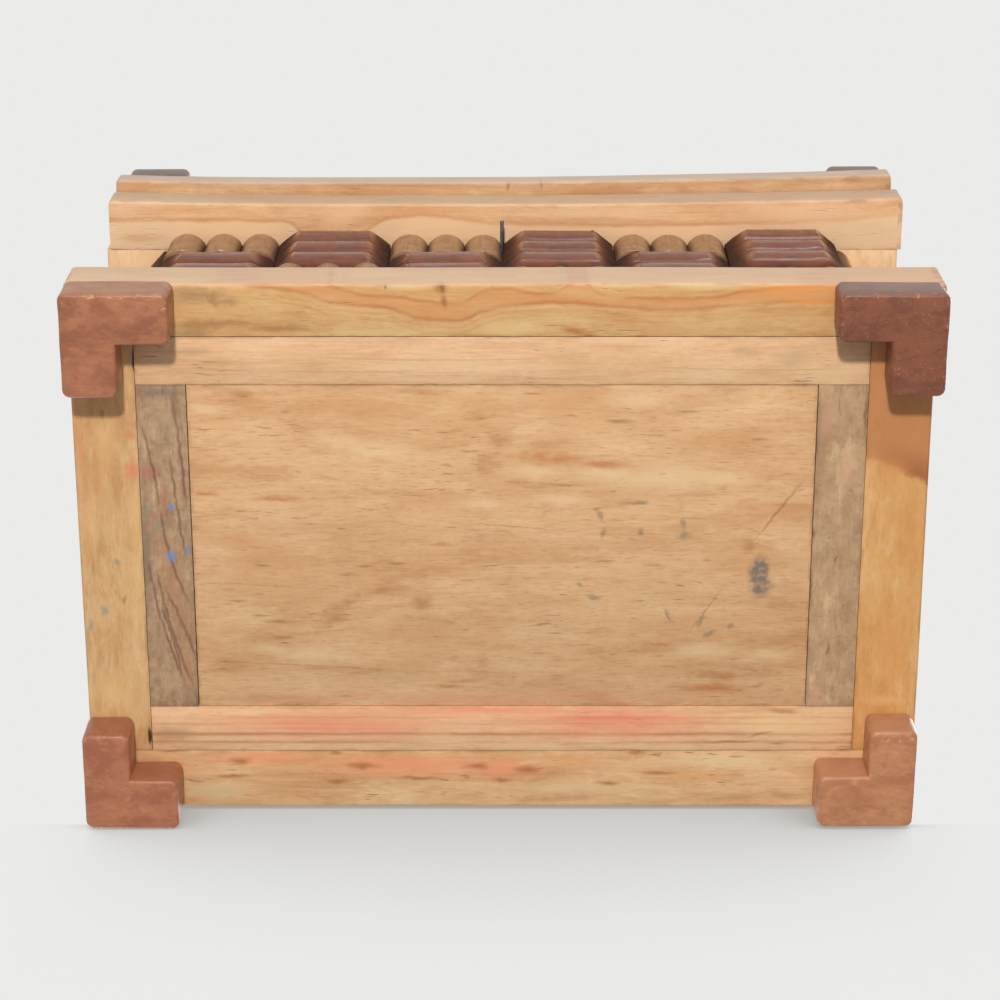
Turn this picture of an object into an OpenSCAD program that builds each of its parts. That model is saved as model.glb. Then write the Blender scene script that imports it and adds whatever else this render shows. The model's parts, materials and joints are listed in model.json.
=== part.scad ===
// Hinged wooden trinket box on four corner feet, with a basket-weave facing between two mouldings.
// Millimetres. The box stands on z = 0, its front faces -Y and +X is to the viewer's right.

/* [Box] */
// Width over the mouldings
box_w = 180; // [160:1:210]
// Depth over the mouldings, front to back
box_d = 120; // [105:1:140]
// Height of the walls
wall_h = 76.5; // [60:0.5:100]
// Thickness of the walls
wall_t = 10.5; // [6:0.5:12]
// Thickness of the bottom panel
panel_t = 8; // [5:0.5:11]
// How far the bottom panel is set up from the walls' lower edges
panel_inset = 0.3; // [0:0.1:2]
// Gap round the bottom panel and round the lid panel
panel_gap = 0.15; // [0.05:0.05:0.5]

/* [Mouldings] */
// Depth of the front rails
front_rail_d = 11.5; // [9:0.5:15]
// Depth of the back rails
back_rail_d = 14; // [11:0.5:17]
// Width of the left and right stiles
stile_w = 13.6; // [11:0.1:18]
// Height of the base moulding
base_h = 13.2; // [9:0.1:18]
// Height of the rim moulding
rim_h = 8.7; // [6.5:0.1:13]
// How far the rim moulding stands out past the base moulding at each end
rim_out = 1.1; // [0:0.1:3]
// Rounding along the outer edges of the mouldings and the lid
edge_r = 0.8; // [0.4:0.1:2.4]
// Rounding of the mouldings' and the lid's corners, seen from above
corner_r = 1.8; // [1:0.1:5]

/* [Feet] */
// Height of the feet
foot_h = 10.4; // [6:0.1:16]
// Reach of a foot along the front or back rail
foot_w = 22; // [17:0.5:30]
// Reach of a foot along the side stile
foot_d = 22; // [17:0.5:30]
// Width of a foot's arms
foot_arm = 11; // [7:0.5:12]
// How far the feet stand out past the base moulding
foot_out = 0.4; // [0:0.1:2]
// Rounding of the upright edges of the feet and of the lid's corner blocks
block_r = 1; // [0.5:0.1:3]

/* [Weave] */
// Columns across the front and the back
front_columns = 6; // [4:1:8]
// Columns across each side
side_columns = 4; // [3:1:6]
// Beads in a light block, and reeds in a dark one
reeds = 3; // [2:1:4]
// How far the light beads stand out from the wall
bead_proud = 4; // [3.5:0.1:6]
// How far the dark blocks stand out from the wall
block_proud = 6; // [4.6:0.1:8]
// Length of the slope at each end of a dark block
hip_run = 5.1; // [3:0.1:7]
// Height of the upright edge under that slope
hip_base = 1.2; // [0.5:0.1:2.5]
// Wood left under the valleys between beads or reeds
valley_web = 0.2; // [0.1:0.05:0.5]
// Gap between neighbouring blocks
block_gap = 0.2; // [0.1:0.05:0.5]

/* [Latch pin] */
// Diameter of the steel pin in the front wall
pin_dia = 0.9; // [0.6:0.1:1.6]
// How far the pin stands out from the wall
pin_out = 8; // [6:0.5:11]
// How deep the pin goes into the wall
pin_in = 5; // [3:0.5:5]
// Room left in the hole past the pin's end
pin_room = 0.5; // [0.2:0.1:0.9]
// Distance from the rim moulding down to the pin
pin_drop = 4.2; // [2:0.1:8]
// Slack round the pin in its hole
pin_slack = 0.05; // [0.02:0.01:0.2]

/* [Lid] */
// Thickness of the lid's panel and strips
lid_t = 5.65; // [5:0.05:9]
// Gap between the rim and the lid
lid_gap = 0.25; // [0.1:0.05:0.5]
// How far the lid's front edge stands out past the rim
lid_lip = 3; // [1:0.5:6]
// How far each end of the lid is set in from the mouldings
lid_inset = 0.7; // [0:0.1:2]
// Height of the corner blocks on the lid
lid_block_h = 7.7; // [4:0.1:12]
// Length of a lid block's arms
lid_block_l = 14; // [10:0.5:22]
// Width of a lid block's arms
lid_block_arm = 8; // [5:0.5:9.5]

/* [Hinges] */
// Distance of each hinge's middle from the box's middle
hinge_x = 45; // [30:1:55]
// Length of a hinge
hinge_l = 25; // [18:0.5:32]
// Height of a leaf, from the pin's centre
leaf_h = 5.2; // [4.2:0.1:5.6]
// Thickness of a leaf
leaf_t = 0.7; // [0.5:0.05:0.9]
// Radius of a knuckle
knuckle_r = 1.35; // [1.2:0.05:1.6]
// Distance of the pin's centre from the back of the box
hinge_out = 1.65; // [1.55:0.05:2]
// Radius of a hinge pin
hinge_pin_r = 0.6; // [0.4:0.05:0.8]
// Slack round a hinge pin in its knuckles
hinge_slack = 0.05; // [0.02:0.01:0.09]
// Gap between neighbouring knuckles, and between a knuckle and the other leaf
knuckle_gap = 0.3; // [0.15:0.05:0.5]
// Distance of each nail from the hinge's middle
nail_x = 8.5; // [5:0.1:8.5]
// Distance of the nails from the pin's centre
nail_z = 3.5; // [3:0.1:3.8]
// Radius of a nail's shank
nail_r = 0.6; // [0.4:0.05:0.8]
// Length of a nail's shank
nail_l = 6.5; // [4:0.1:8]
// Radius of a nail's head
nail_head_r = 1.1; // [0.9:0.05:1.3]
// Thickness of a nail's head
nail_head_t = 0.4; // [0.3:0.05:0.5]

/* [Hidden] */
$fn = 48;

pine = [0.83, 0.65, 0.46];
pale_pine = [0.86, 0.70, 0.52];
bead_wood = [0.72, 0.55, 0.41];
red_wood = [0.55, 0.33, 0.25];
dark_wood = [0.50, 0.32, 0.23];
brass = [0.72, 0.58, 0.32];
steel = [0.50, 0.48, 0.46];

// The four walls stand on a rectangle inside the mouldings
walls_w = box_w - 2 * stile_w;
walls_d = box_d - front_rail_d - back_rail_d;
walls_y = (front_rail_d - back_rail_d) / 2;
inside_w = walls_w - 2 * wall_t;
inside_d = walls_d - 2 * wall_t;

// Levels, from the feet up
base_top = foot_h + base_h;
rim_top = foot_h + wall_h;
rim_z = rim_top - rim_h;
lid_z = rim_top + lid_gap;
lid_top = lid_z + lid_t;
hinge_z = rim_top + lid_gap / 2;
pin_z = rim_z - pin_drop;

// Plan of the lid
lid_w = box_w - 2 * lid_inset;
lid_front_d = front_rail_d + lid_lip;
lid_stile_w = stile_w - lid_inset;

// The facing is two full blocks high
cell_h = (rim_z - base_top) / 2;

// Knuckles: one of the lid leaf between two of the box leaf
knuckle_l = (hinge_l - 2 * knuckle_gap) / 3;
// Wider than the pin's distance from the box, so that it cuts a leaf's plate right through
knuckle_room_r = hinge_out + 2 * knuckle_gap;

pin_hole_r = pin_dia / 2 + pin_slack;
nail_hole_r = nail_r + pin_slack;
// How far a cutter runs past what it cuts
over = 1;

// Sides of the box, as quarter turns from the front
FRONT = 0;
RIGHT = 1;
BACK = 2;
LEFT = 3;

// Puts a shape made for the front on another side, its outer face a distance out from the middle
module on_side(side, out) {
    rotate([0, 0, 90 * side]) translate([0, -out, 0]) children();
}

// Moves what belongs to the walls: where front and back rails differ in depth, they aren't in the middle
module with_walls() {
    translate([0, walls_y, 0]) children();
}

module rounded_rectangle(w, d, r) {
    translate([r, 0]) square([w - 2 * r, d]);
    translate([0, r]) square([w, d - 2 * r]);
    for (x = [r, w - r], y = [r, d - r]) translate([x, y]) circle(r);
}

// Strip along X with its outer face on y = 0, rounded along that face's two edges
module strip(length, depth, height) {
    translate([length / 2, 0, 0]) rotate([0, -90, 0]) linear_extrude(length) {
        translate([0, edge_r]) square([height, depth - edge_r]);
        translate([edge_r, 0]) square([height - 2 * edge_r, 2 * edge_r]);
        for (z = [edge_r, height - edge_r]) translate([z, edge_r]) circle(edge_r);
    }
}

// Rail of a moulding: a strip whose two ends are the rounded corners of the plan
module rail(length, depth, height) {
    intersection() {
        strip(length, depth, height);
        translate([-length / 2, 0, 0]) linear_extrude(height)
            rounded_rectangle(length, depth + 2 * corner_r, corner_r);
    }
}

// L in plan, its outer corner on the origin and its arms along +X and +Y
module corner_block(w, d, arm, height) {
    linear_extrude(height) {
        rounded_rectangle(w, arm, block_r);
        rounded_rectangle(arm, d, block_r);
    }
}

// Puts a corner block under or over one corner of a plan
module at_corner(x, y) {
    translate([x, y, 0]) mirror([x > 0 ? 1 : 0, 0, 0]) mirror([0, y > 0 ? 1 : 0, 0]) children();
}

// Row of half-rounds that stands out towards -Y from a flat back on y = 0
module reed_outline(width, proud) {
    pitch = width / reeds;
    sunk = proud - pitch / 2;
    intersection() {
        union() {
            for (k = [0.5 : reeds - 0.5]) translate([k * pitch, -sunk]) circle(pitch / 2);
            translate([0, -max(sunk, 0) - valley_web]) square([width, max(sunk, 0) + valley_web]);
        }
        translate([0, -proud - over]) square([width, proud + over]);
    }
}

// Light block: upright half-round beads
module bead_block(w, h) {
    translate([block_gap / 2, 0, block_gap / 2]) linear_extrude(h - block_gap)
        reed_outline(w - block_gap, bead_proud);
}

// Dark block: level reeds, cut to a slope at both ends
module reeded_block(w, h) {
    bw = w - block_gap;
    bh = h - block_gap;
    translate([block_gap / 2, 0, block_gap / 2]) intersection() {
        translate([bw, 0, 0]) rotate([0, -90, 0]) linear_extrude(bw) reed_outline(bh, block_proud);
        linear_extrude(bh) polygon([
            [0, 0], [0, -hip_base], [hip_run, -block_proud], [hip_run, -block_proud - over],
            [bw - hip_run, -block_proud - over], [bw - hip_run, -block_proud], [bw, -hip_base], [bw, 0]
        ]);
    }
}

// Every second column starts with half a light block
module weave_beads(columns, w) {
    for (i = [0 : columns - 1]) translate([i * w, 0, 0]) {
        if (i % 2 == 0) {
            bead_block(w, cell_h / 2);
            translate([0, 0, cell_h * 1.5]) bead_block(w, cell_h / 2);
        } else {
            bead_block(w, cell_h);
        }
    }
}

module weave_blocks(columns, w) {
    for (i = [0 : columns - 1])
        translate([i * w, 0, i % 2 == 0 ? cell_h / 2 : cell_h]) reeded_block(w, cell_h);
}

// Places the facing of one side: it starts at the left end of the wall, seen from outside
module on_wall(side) {
    across = side % 2 == 0 ? walls_w : walls_d;
    out = side % 2 == 0 ? walls_d / 2 : walls_w / 2;
    with_walls() on_side(side, out) translate([-across / 2, 0, base_top]) children();
}

// Hole for the latch pin, through the facing and into the front wall
module pin_bore() {
    with_walls() translate([0, -walls_d / 2 - pin_out, pin_z]) rotate([-90, 0, 0])
        cylinder(r = pin_hole_r, h = pin_out + pin_in + pin_room);
}

// Nails of one leaf at the back: the box leaf's are below the pin, the lid leaf's above it
module nail_places(x, up) {
    for (dx = [-nail_x, nail_x]) translate([x + dx, box_d / 2, hinge_z + up * nail_z])
        rotate([90, 0, 0]) children();
}

module nail_bores(up) {
    for (x = [-hinge_x, hinge_x]) nail_places(x, up)
        translate([0, 0, -leaf_t - over]) cylinder(r = nail_hole_r, h = nail_l + leaf_t + over);
}

module nails(up) {
    color(brass) for (x = [-hinge_x, hinge_x]) nail_places(x, up) {
        translate([0, 0, -leaf_t]) cylinder(r = nail_r, h = nail_l);
        translate([0, 0, -leaf_t - nail_head_t]) cylinder(r = nail_head_r, h = nail_head_t);
    }
}

// A knuckle's middle lies a step of pitch from the hinge's middle
module knuckle_tube(x, step, r, extra) {
    length = knuckle_l + 2 * extra;
    translate([x + step * (knuckle_l + knuckle_gap) - length / 2, box_d / 2 + hinge_out, hinge_z])
        rotate([0, 90, 0]) cylinder(r = r, h = length);
}

// Leaf at x whose plate goes up or down from the pin, with its own knuckles and room for the others
module leaf(x, up, own, others) {
    color(brass) difference() {
        union() {
            translate([x - hinge_l / 2, box_d / 2, up > 0 ? hinge_z : hinge_z - leaf_h])
                cube([hinge_l, leaf_t, leaf_h]);
            for (step = own) knuckle_tube(x, step, knuckle_r, 0);
        }
        for (step = others) knuckle_tube(x, step, knuckle_room_r, knuckle_gap);
        for (step = own) knuckle_tube(x, step, hinge_pin_r + hinge_slack, over);
        nail_bores(up);
    }
}

module hinge_pin(x) {
    color(brass) translate([x - hinge_l / 2, box_d / 2 + hinge_out, hinge_z])
        rotate([0, 90, 0]) cylinder(r = hinge_pin_r, h = hinge_l);
}

module bottom_panel() {
    w = inside_w - 2 * panel_gap;
    d = inside_d - 2 * panel_gap;
    color(pale_pine) with_walls() translate([-w / 2, -d / 2, foot_h + panel_inset]) cube([w, d, panel_t]);
}

module long_wall(side) {
    with_walls() on_side(side, walls_d / 2)
        translate([-walls_w / 2, 0, foot_h]) cube([walls_w, wall_t, wall_h]);
}

module front_wall() {
    color(pine) difference() {
        long_wall(FRONT);
        pin_bore();
    }
}

module back_wall() {
    color(pine) long_wall(BACK);
}

module side_wall(side) {
    color(pine) with_walls() on_side(side, walls_w / 2)
        translate([-inside_d / 2, 0, foot_h]) cube([inside_d, wall_t, wall_h]);
}

// Strips of the base moulding and of the rim moulding differ in level, in height and in how far they reach
module moulding_rail(side, z, h, reach) {
    depth = side == FRONT ? front_rail_d : back_rail_d;
    color(pine) on_side(side, box_d / 2) translate([0, 0, z]) rail(box_w + 2 * reach, depth, h);
}

module moulding_stile(side, z, h, reach) {
    color(pine) with_walls() on_side(side, box_w / 2 + reach)
        translate([0, 0, z]) strip(walls_d, stile_w + reach, h);
}

module rim_back_rail() {
    difference() {
        moulding_rail(BACK, rim_z, rim_h, rim_out);
        nail_bores(-1);
    }
}

module foot(sx, sy) {
    color(red_wood) at_corner(sx * (box_w / 2 + foot_out), sy * (box_d / 2 + foot_out))
        corner_block(foot_w, foot_d, foot_arm, foot_h);
}

module front_beads() {
    color(bead_wood) difference() {
        on_wall(FRONT) weave_beads(front_columns, walls_w / front_columns);
        pin_bore();
    }
}

module front_blocks() {
    color(dark_wood) difference() {
        on_wall(FRONT) weave_blocks(front_columns, walls_w / front_columns);
        pin_bore();
    }
}

module back_beads() {
    color(bead_wood) on_wall(BACK) weave_beads(front_columns, walls_w / front_columns);
}

module back_blocks() {
    color(dark_wood) on_wall(BACK) weave_blocks(front_columns, walls_w / front_columns);
}

module side_beads(side) {
    color(bead_wood) on_wall(side) weave_beads(side_columns, walls_d / side_columns);
}

module side_blocks(side) {
    color(dark_wood) on_wall(side) weave_blocks(side_columns, walls_d / side_columns);
}

module latch_pin() {
    color(steel) with_walls() translate([0, -walls_d / 2 - pin_out, pin_z]) rotate([-90, 0, 0])
        cylinder(r = pin_dia / 2, h = pin_out + pin_in);
}

module lid_panel() {
    w = walls_w - 2 * panel_gap;
    d = walls_d - 2 * panel_gap;
    color(pale_pine) with_walls() translate([-w / 2, -d / 2, lid_z]) cube([w, d, lid_t]);
}

module lid_front_rail() {
    color(pine) on_side(FRONT, box_d / 2 + lid_lip) translate([0, 0, lid_z]) rail(lid_w, lid_front_d, lid_t);
}

module lid_back_rail() {
    color(pine) difference() {
        on_side(BACK, box_d / 2) translate([0, 0, lid_z]) rail(lid_w, back_rail_d, lid_t);
        nail_bores(1);
    }
}

module lid_stile(side) {
    color(pine) with_walls() on_side(side, lid_w / 2)
        translate([0, 0, lid_z]) strip(walls_d, lid_stile_w, lid_t);
}

module lid_block(sx, sy) {
    y = sy < 0 ? -box_d / 2 - lid_lip : box_d / 2;
    color(red_wood) translate([0, 0, lid_top]) at_corner(sx * lid_w / 2, y)
        corner_block(lid_block_l, lid_block_l, lid_block_arm, lid_block_h);
}

bottom_panel();
front_wall();
back_wall();
side_wall(LEFT);  // left_wall
side_wall(RIGHT);  // right_wall
moulding_rail(FRONT, foot_h, base_h, 0);  // base_front_rail
moulding_rail(BACK, foot_h, base_h, 0);  // base_back_rail
moulding_stile(LEFT, foot_h, base_h, 0);  // base_left_stile
moulding_stile(RIGHT, foot_h, base_h, 0);  // base_right_stile
moulding_rail(FRONT, rim_z, rim_h, rim_out);  // rim_front_rail
rim_back_rail();
moulding_stile(LEFT, rim_z, rim_h, rim_out);  // rim_left_stile
moulding_stile(RIGHT, rim_z, rim_h, rim_out);  // rim_right_stile
foot(-1, -1);  // front_left_foot
foot(1, -1);  // front_right_foot
foot(-1, 1);  // back_left_foot
foot(1, 1);  // back_right_foot
front_beads();
side_beads(RIGHT);  // right_beads
back_beads();
side_beads(LEFT);  // left_beads
front_blocks();
side_blocks(RIGHT);  // right_blocks
back_blocks();
side_blocks(LEFT);  // left_blocks
latch_pin();
lid_panel();
lid_front_rail();
lid_back_rail();
lid_stile(LEFT);  // lid_left_stile
lid_stile(RIGHT);  // lid_right_stile
lid_block(-1, -1);  // front_left_lid_block
lid_block(1, -1);  // front_right_lid_block
lid_block(-1, 1);  // back_left_lid_block
lid_block(1, 1);  // back_right_lid_block
leaf(-hinge_x, -1, [-1, 1], [0]);  // left_hinge_box_leaf
leaf(hinge_x, -1, [-1, 1], [0]);  // right_hinge_box_leaf
leaf(-hinge_x, 1, [0], [-1, 1]);  // left_hinge_lid_leaf
leaf(hinge_x, 1, [0], [-1, 1]);  // right_hinge_lid_leaf
hinge_pin(-hinge_x);  // left_hinge_pin
hinge_pin(hinge_x);  // right_hinge_pin
nails(-1);  // box_hinge_nails
nails(1);  // lid_hinge_nails
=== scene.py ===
# %% [markdown]
# # A small hinged wooden box
#
# The box is made of pine strips and boards, with four dark corner feet and a basket weave of carved blocks
# on its walls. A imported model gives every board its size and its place. Here each board is made again with
# soft worn edges, and then gets its wood, its varnish and its stains.
#
# The photograph shows the box lying on its back, seen from underneath. The box itself stays upright, so the
# camera goes below it and looks up.

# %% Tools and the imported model
import json
import math
import random

import bmesh
import bpy
from mathutils import Matrix, Vector, noise


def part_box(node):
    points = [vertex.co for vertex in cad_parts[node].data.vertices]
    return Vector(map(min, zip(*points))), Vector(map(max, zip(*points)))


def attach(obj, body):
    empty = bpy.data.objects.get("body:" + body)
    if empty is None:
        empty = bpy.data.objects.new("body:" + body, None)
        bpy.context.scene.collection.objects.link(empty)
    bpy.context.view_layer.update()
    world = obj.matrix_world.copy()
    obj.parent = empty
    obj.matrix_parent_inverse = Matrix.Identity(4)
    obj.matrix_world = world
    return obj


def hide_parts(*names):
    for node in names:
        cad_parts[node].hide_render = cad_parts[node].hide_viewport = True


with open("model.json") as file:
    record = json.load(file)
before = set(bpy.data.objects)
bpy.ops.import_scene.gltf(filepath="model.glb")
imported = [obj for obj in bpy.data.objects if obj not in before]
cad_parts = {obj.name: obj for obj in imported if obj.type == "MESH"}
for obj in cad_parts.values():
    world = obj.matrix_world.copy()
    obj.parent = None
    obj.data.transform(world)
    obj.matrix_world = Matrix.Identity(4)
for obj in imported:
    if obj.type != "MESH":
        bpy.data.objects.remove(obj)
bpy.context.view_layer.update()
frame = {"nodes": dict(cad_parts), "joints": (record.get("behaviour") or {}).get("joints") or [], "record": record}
MM = 0.001

# %% [markdown]
# ## The camera
#
# A long lens far away keeps the sides of the box nearly parallel, as in the photograph. The camera stands
# below the feet and a little in front, so that it sees the underside and a strip of the front. Its up is the
# box's front, which turns the picture as the photograph has it.

# %% Camera
CAMERA_PLACE = Vector((-0.45, -215.3, -532.1)) * MM
CAMERA_PITCH = math.radians(20.5)
LENS_MM = 98.7
SENSOR_MM = 36

bpy.ops.object.select_all(action="DESELECT")
bpy.ops.object.camera_add()
camera = bpy.context.object
camera.data.lens = LENS_MM
camera.data.sensor_width = SENSOR_MM
camera.data.clip_start = 10 * MM
CAMERA_RIGHT = Vector((1, 0, 0))
CAMERA_BACK = Vector((0, -math.sin(CAMERA_PITCH), -math.cos(CAMERA_PITCH)))
CAMERA_UP = CAMERA_BACK.cross(CAMERA_RIGHT)
camera_turn = Matrix((CAMERA_RIGHT, CAMERA_UP, CAMERA_BACK)).transposed().to_4x4()
camera.matrix_world = Matrix.Translation(CAMERA_PLACE) @ camera_turn
bpy.context.scene.camera = camera
print("camera:", round(CAMERA_PLACE.length / MM), "mm from the feet's middle")

# %% [markdown]
# ## Working on a mesh as by hand
#
# Every operator acts on what is selected, so a few small helpers deselect everything, start a block at its
# size and place, and select edges or faces by where they are. A bevel then rounds just those edges.


# %% Helpers for selecting and shaping
X, Y, Z = 0, 1, 2
ROD_TURNS = {X: (0, math.pi / 2, 0), Y: (math.pi / 2, 0, 0), Z: (0, 0, 0)}
TINY = 0.001 * MM
SEAM = 0.03 * MM


def only(piece):
    """Selects one object and makes it the active one."""
    bpy.ops.object.select_all(action="DESELECT")
    bpy.context.view_layer.objects.active = piece
    piece.select_set(True)


def start_block(name, low, high):
    """A block between two corners, its place in its mesh."""
    bpy.ops.object.select_all(action="DESELECT")
    bpy.ops.mesh.primitive_cube_add(size=1, location=(low + high) / 2)
    piece = bpy.context.object
    piece.name = piece.data.name = name
    piece.scale = high - low
    bpy.ops.object.transform_apply(location=True, rotation=True, scale=True)
    return piece


def start_rod(name, middle, axis, radius, length, sides):
    """A cylinder along an axis, its place in its mesh."""
    bpy.ops.object.select_all(action="DESELECT")
    bpy.ops.mesh.primitive_cylinder_add(
        vertices=sides, radius=radius, depth=length, location=middle, rotation=ROD_TURNS[axis]
    )
    piece = bpy.context.object
    piece.name = piece.data.name = name
    bpy.ops.object.transform_apply(location=True, rotation=True, scale=True)
    return piece


def edit(piece):
    only(piece)
    bpy.ops.object.mode_set(mode="EDIT")


def done():
    bpy.ops.object.mode_set(mode="OBJECT")


def pick(piece, kind, test):
    """In edit mode, selects the edges or faces that pass a test."""
    bpy.ops.mesh.select_mode(type=kind)
    bpy.ops.mesh.select_all(action="DESELECT")
    mesh = bmesh.from_edit_mesh(piece.data)
    parts = mesh.edges if kind == "EDGE" else mesh.faces
    for part in parts:
        if test(part):
            part.select_set(True)
    mesh.select_flush_mode()
    bmesh.update_edit_mesh(piece.data)


def bevel(width, segments):
    bpy.ops.mesh.bevel(offset=width, segments=segments, affect="EDGES", clamp_overlap=True)


def cut(place, normal):
    """Saws off what lies beyond a plane and closes the cut."""
    bpy.ops.mesh.bisect(plane_co=place, plane_no=normal, use_fill=True, clear_outer=True, threshold=TINY)


def smooth(piece, degrees=32):
    only(piece)
    bpy.ops.object.shade_smooth_by_angle(angle=math.radians(degrees))


def runs_along(edge, axis):
    a, b = (v.co for v in edge.verts)
    return abs(a[axis] - b[axis]) > 0.999 * (a - b).length


def is_sharp(edge, degrees=60):
    return edge.calc_face_angle(0) > math.radians(degrees)


def is_proud(edge):
    """True off the wall's face, which is y = 0 for a block in its own place."""
    return min(v.co.y for v in edge.verts) < -SEAM


# %% [markdown]
# ## Boards and strips
#
# The mouldings are planed strips: square where they meet another strip, well rounded on the outside where
# hands have worn them. A board starts as a block, gets a big bevel on its outer edges and a small one on the
# rest, and is then cut across its length so that it can be slightly uneven, as planed pine is. Outer faces
# also sway a little, and a few strips bow or end a little long or short, as in the photograph.

# %% Uneven faces
UNEVEN = 0.06 * MM
UNEVEN_REACH = 22 * MM
UNEVEN_ALONG_GRAIN = 2.5
UNEVEN_SEED_STEPS = (7.3, 3.1, 5.7)
WORN = 0.3
SWAY = 0.3 * MM
SWAY_REACH = 55 * MM
SWAY_SEED_STEP = 4.9
SWAY_WORN = 0.35


def uneven(piece, seed, amount=UNEVEN, grain=X, reach=UNEVEN_REACH):
    """Moves every point a little along its normal, mostly inwards, in long waves that follow the grain."""
    offset = Vector([seed * step for step in UNEVEN_SEED_STEPS])
    for vertex in piece.data.vertices:
        place = vertex.co / reach
        place[grain] /= UNEVEN_ALONG_GRAIN
        vertex.co += vertex.normal * amount * (noise.noise(place + offset) - WORN)


def sway(piece, axis, face, grain, seed, bow):
    """Lets an outer face wander in and out along its length, as a strip does that was planed by hand.

    The bow says how far it lies inwards at its left end, in its middle and at its right end.
    """
    places = [v.co[axis] for v in piece.data.vertices]
    middle = (min(places) + max(places)) / 2
    length = max(v.co[grain] for v in piece.data.vertices)
    inwards = 1 if middle > face else -1
    for vertex in piece.data.vertices:
        share = max((vertex.co[axis] - middle) / (face - middle), 0)
        along = vertex.co[grain]
        part = along / length
        wave = noise.noise(Vector((along / SWAY_REACH, seed * SWAY_SEED_STEP, vertex.co.z / SWAY_REACH)))
        amount = SWAY * (SWAY_WORN - wave) + bow[1] + (bow[2] - bow[0]) / 2 * part
        amount += ((bow[0] + bow[2]) / 2 - bow[1]) * part * part
        vertex.co[axis] += inwards * amount * share


# %% Which way a board's grain runs
def grain_of(node):
    """From front to back in the stiles and the side walls, and from side to side in all other boards."""
    return Y if node.endswith("stile") or node in ("left_wall", "right_wall") else X


# %% A board from its place in the frame
ARRIS = 0.1 * MM
ROUND = 0.8 * MM
CORNER = 1.1 * MM
ROUND_STEPS = 5
CUT_EVERY = 5 * MM
# The bottom panel reaches a little past its box on each side, so that no light shows round it.
PANEL_FIT = -0.07 * MM
# In millimetres: how far a rail is longer at its left and at its right end, how its outer face is bowed, and
# how far the lid's boards reach down to the rim.
ENDS = {"base_front_rail": (0.4, 1.5), "rim_front_rail": (-1.1, 0.6), "lid_front_rail": (0.0, 0.7)}
STRAIGHT = (0, 0, 0)
BOWS = {
    "lid_front_rail": (0.0, 0.6, -1.3),
    "rim_front_rail": (-0.3, 0.5, -0.9),
    "base_back_rail": (0.2, 0.1, 0.0),
}
HANGS = dict.fromkeys(("lid_front_rail", "lid_back_rail", "lid_left_stile", "lid_right_stile"), 0.12)
HANGS["lid_panel"] = 0.2


def board(node, seed, outer=None, corners=False, seam=SEAM):
    """A strip whose long outer edges are rounded: outer is the axis and sign of its outer face."""
    grain = grain_of(node)
    low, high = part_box(node)
    gap = Vector((seam, seam, SEAM))
    low, high = low + gap, high - gap
    left_end, right_end = ENDS.get(node, (0, 0))
    low.x -= left_end * MM
    high.x += right_end * MM
    low.z -= HANGS.get(node, 0) * MM
    piece = start_block(node + "_board", low, high)
    edit(piece)
    if outer:
        axis, sign = outer
        face = high[axis] if sign > 0 else low[axis]

        def on_outer_face(edge):
            return all(abs(v.co[axis] - face) < SEAM for v in edge.verts)

        if corners:
            pick(piece, "EDGE", lambda e: on_outer_face(e) and runs_along(e, Z))
            bevel(CORNER, ROUND_STEPS)

        def on_rounded_rim(edge):
            level = all(abs(v.co.z - low.z) < SEAM for v in edge.verts)
            level = level or all(abs(v.co.z - high.z) < SEAM for v in edge.verts)
            inner = low[axis] if sign > 0 else high[axis]
            at_back = any(abs(v.co[axis] - inner) < SEAM for v in edge.verts)
            return level and not at_back and (corners or on_outer_face(edge))

        pick(piece, "EDGE", on_rounded_rim)
        bevel(ROUND, ROUND_STEPS)
    pick(piece, "EDGE", is_sharp)
    bevel(ARRIS, 2)
    length = high[grain] - low[grain]
    pick(piece, "EDGE", lambda e: runs_along(e, grain) and e.calc_length() > 0.5 * length)
    bpy.ops.mesh.subdivide(number_cuts=int(length / CUT_EVERY))
    done()
    uneven(piece, seed, grain=grain)
    if outer:
        sway(piece, axis, face, grain, seed, [inwards * MM for inwards in BOWS.get(node, STRAIGHT)])
    smooth(piece)
    return piece


# %% All boards
LEVELS = ("base", "rim", "lid")
boards = {}
for side, axis, sign in (("front", Y, -1), ("back", Y, 1)):
    for level in LEVELS:
        node = f"{level}_{side}_rail"
        boards[node] = board(node, len(boards) + 1, (axis, sign), corners=True)
for side, axis, sign in (("left", X, -1), ("right", X, 1)):
    for level in LEVELS:
        node = f"{level}_{side}_stile"
        boards[node] = board(node, len(boards) + 1, (axis, sign))
for node in ("front_wall", "back_wall", "left_wall", "right_wall", "bottom_panel", "lid_panel"):
    seam = PANEL_FIT if node == "bottom_panel" else SEAM
    boards[node] = board(node, len(boards) + 1, seam=seam)
print("boards:", len(boards))

# %% [markdown]
# ## Corner feet and corner blocks
#
# Each foot is an L sawn from a dark reddish wood. A block makes the arm along the rail, a cut across it marks
# off the corner, and the corner's side is pulled out to make the second arm. No two feet were sawn alike, so
# each has its own row of sizes. The upright edges are rounded first and then all the others.

# %% Feet and lid blocks
FOOT_CORNER = 1.7 * MM
FOOT_ROUND = 0.95 * MM
FOOT_UNEVEN = 0.2 * MM
FOOT_REACH = 7 * MM
FOOT_SEED = 31
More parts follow.
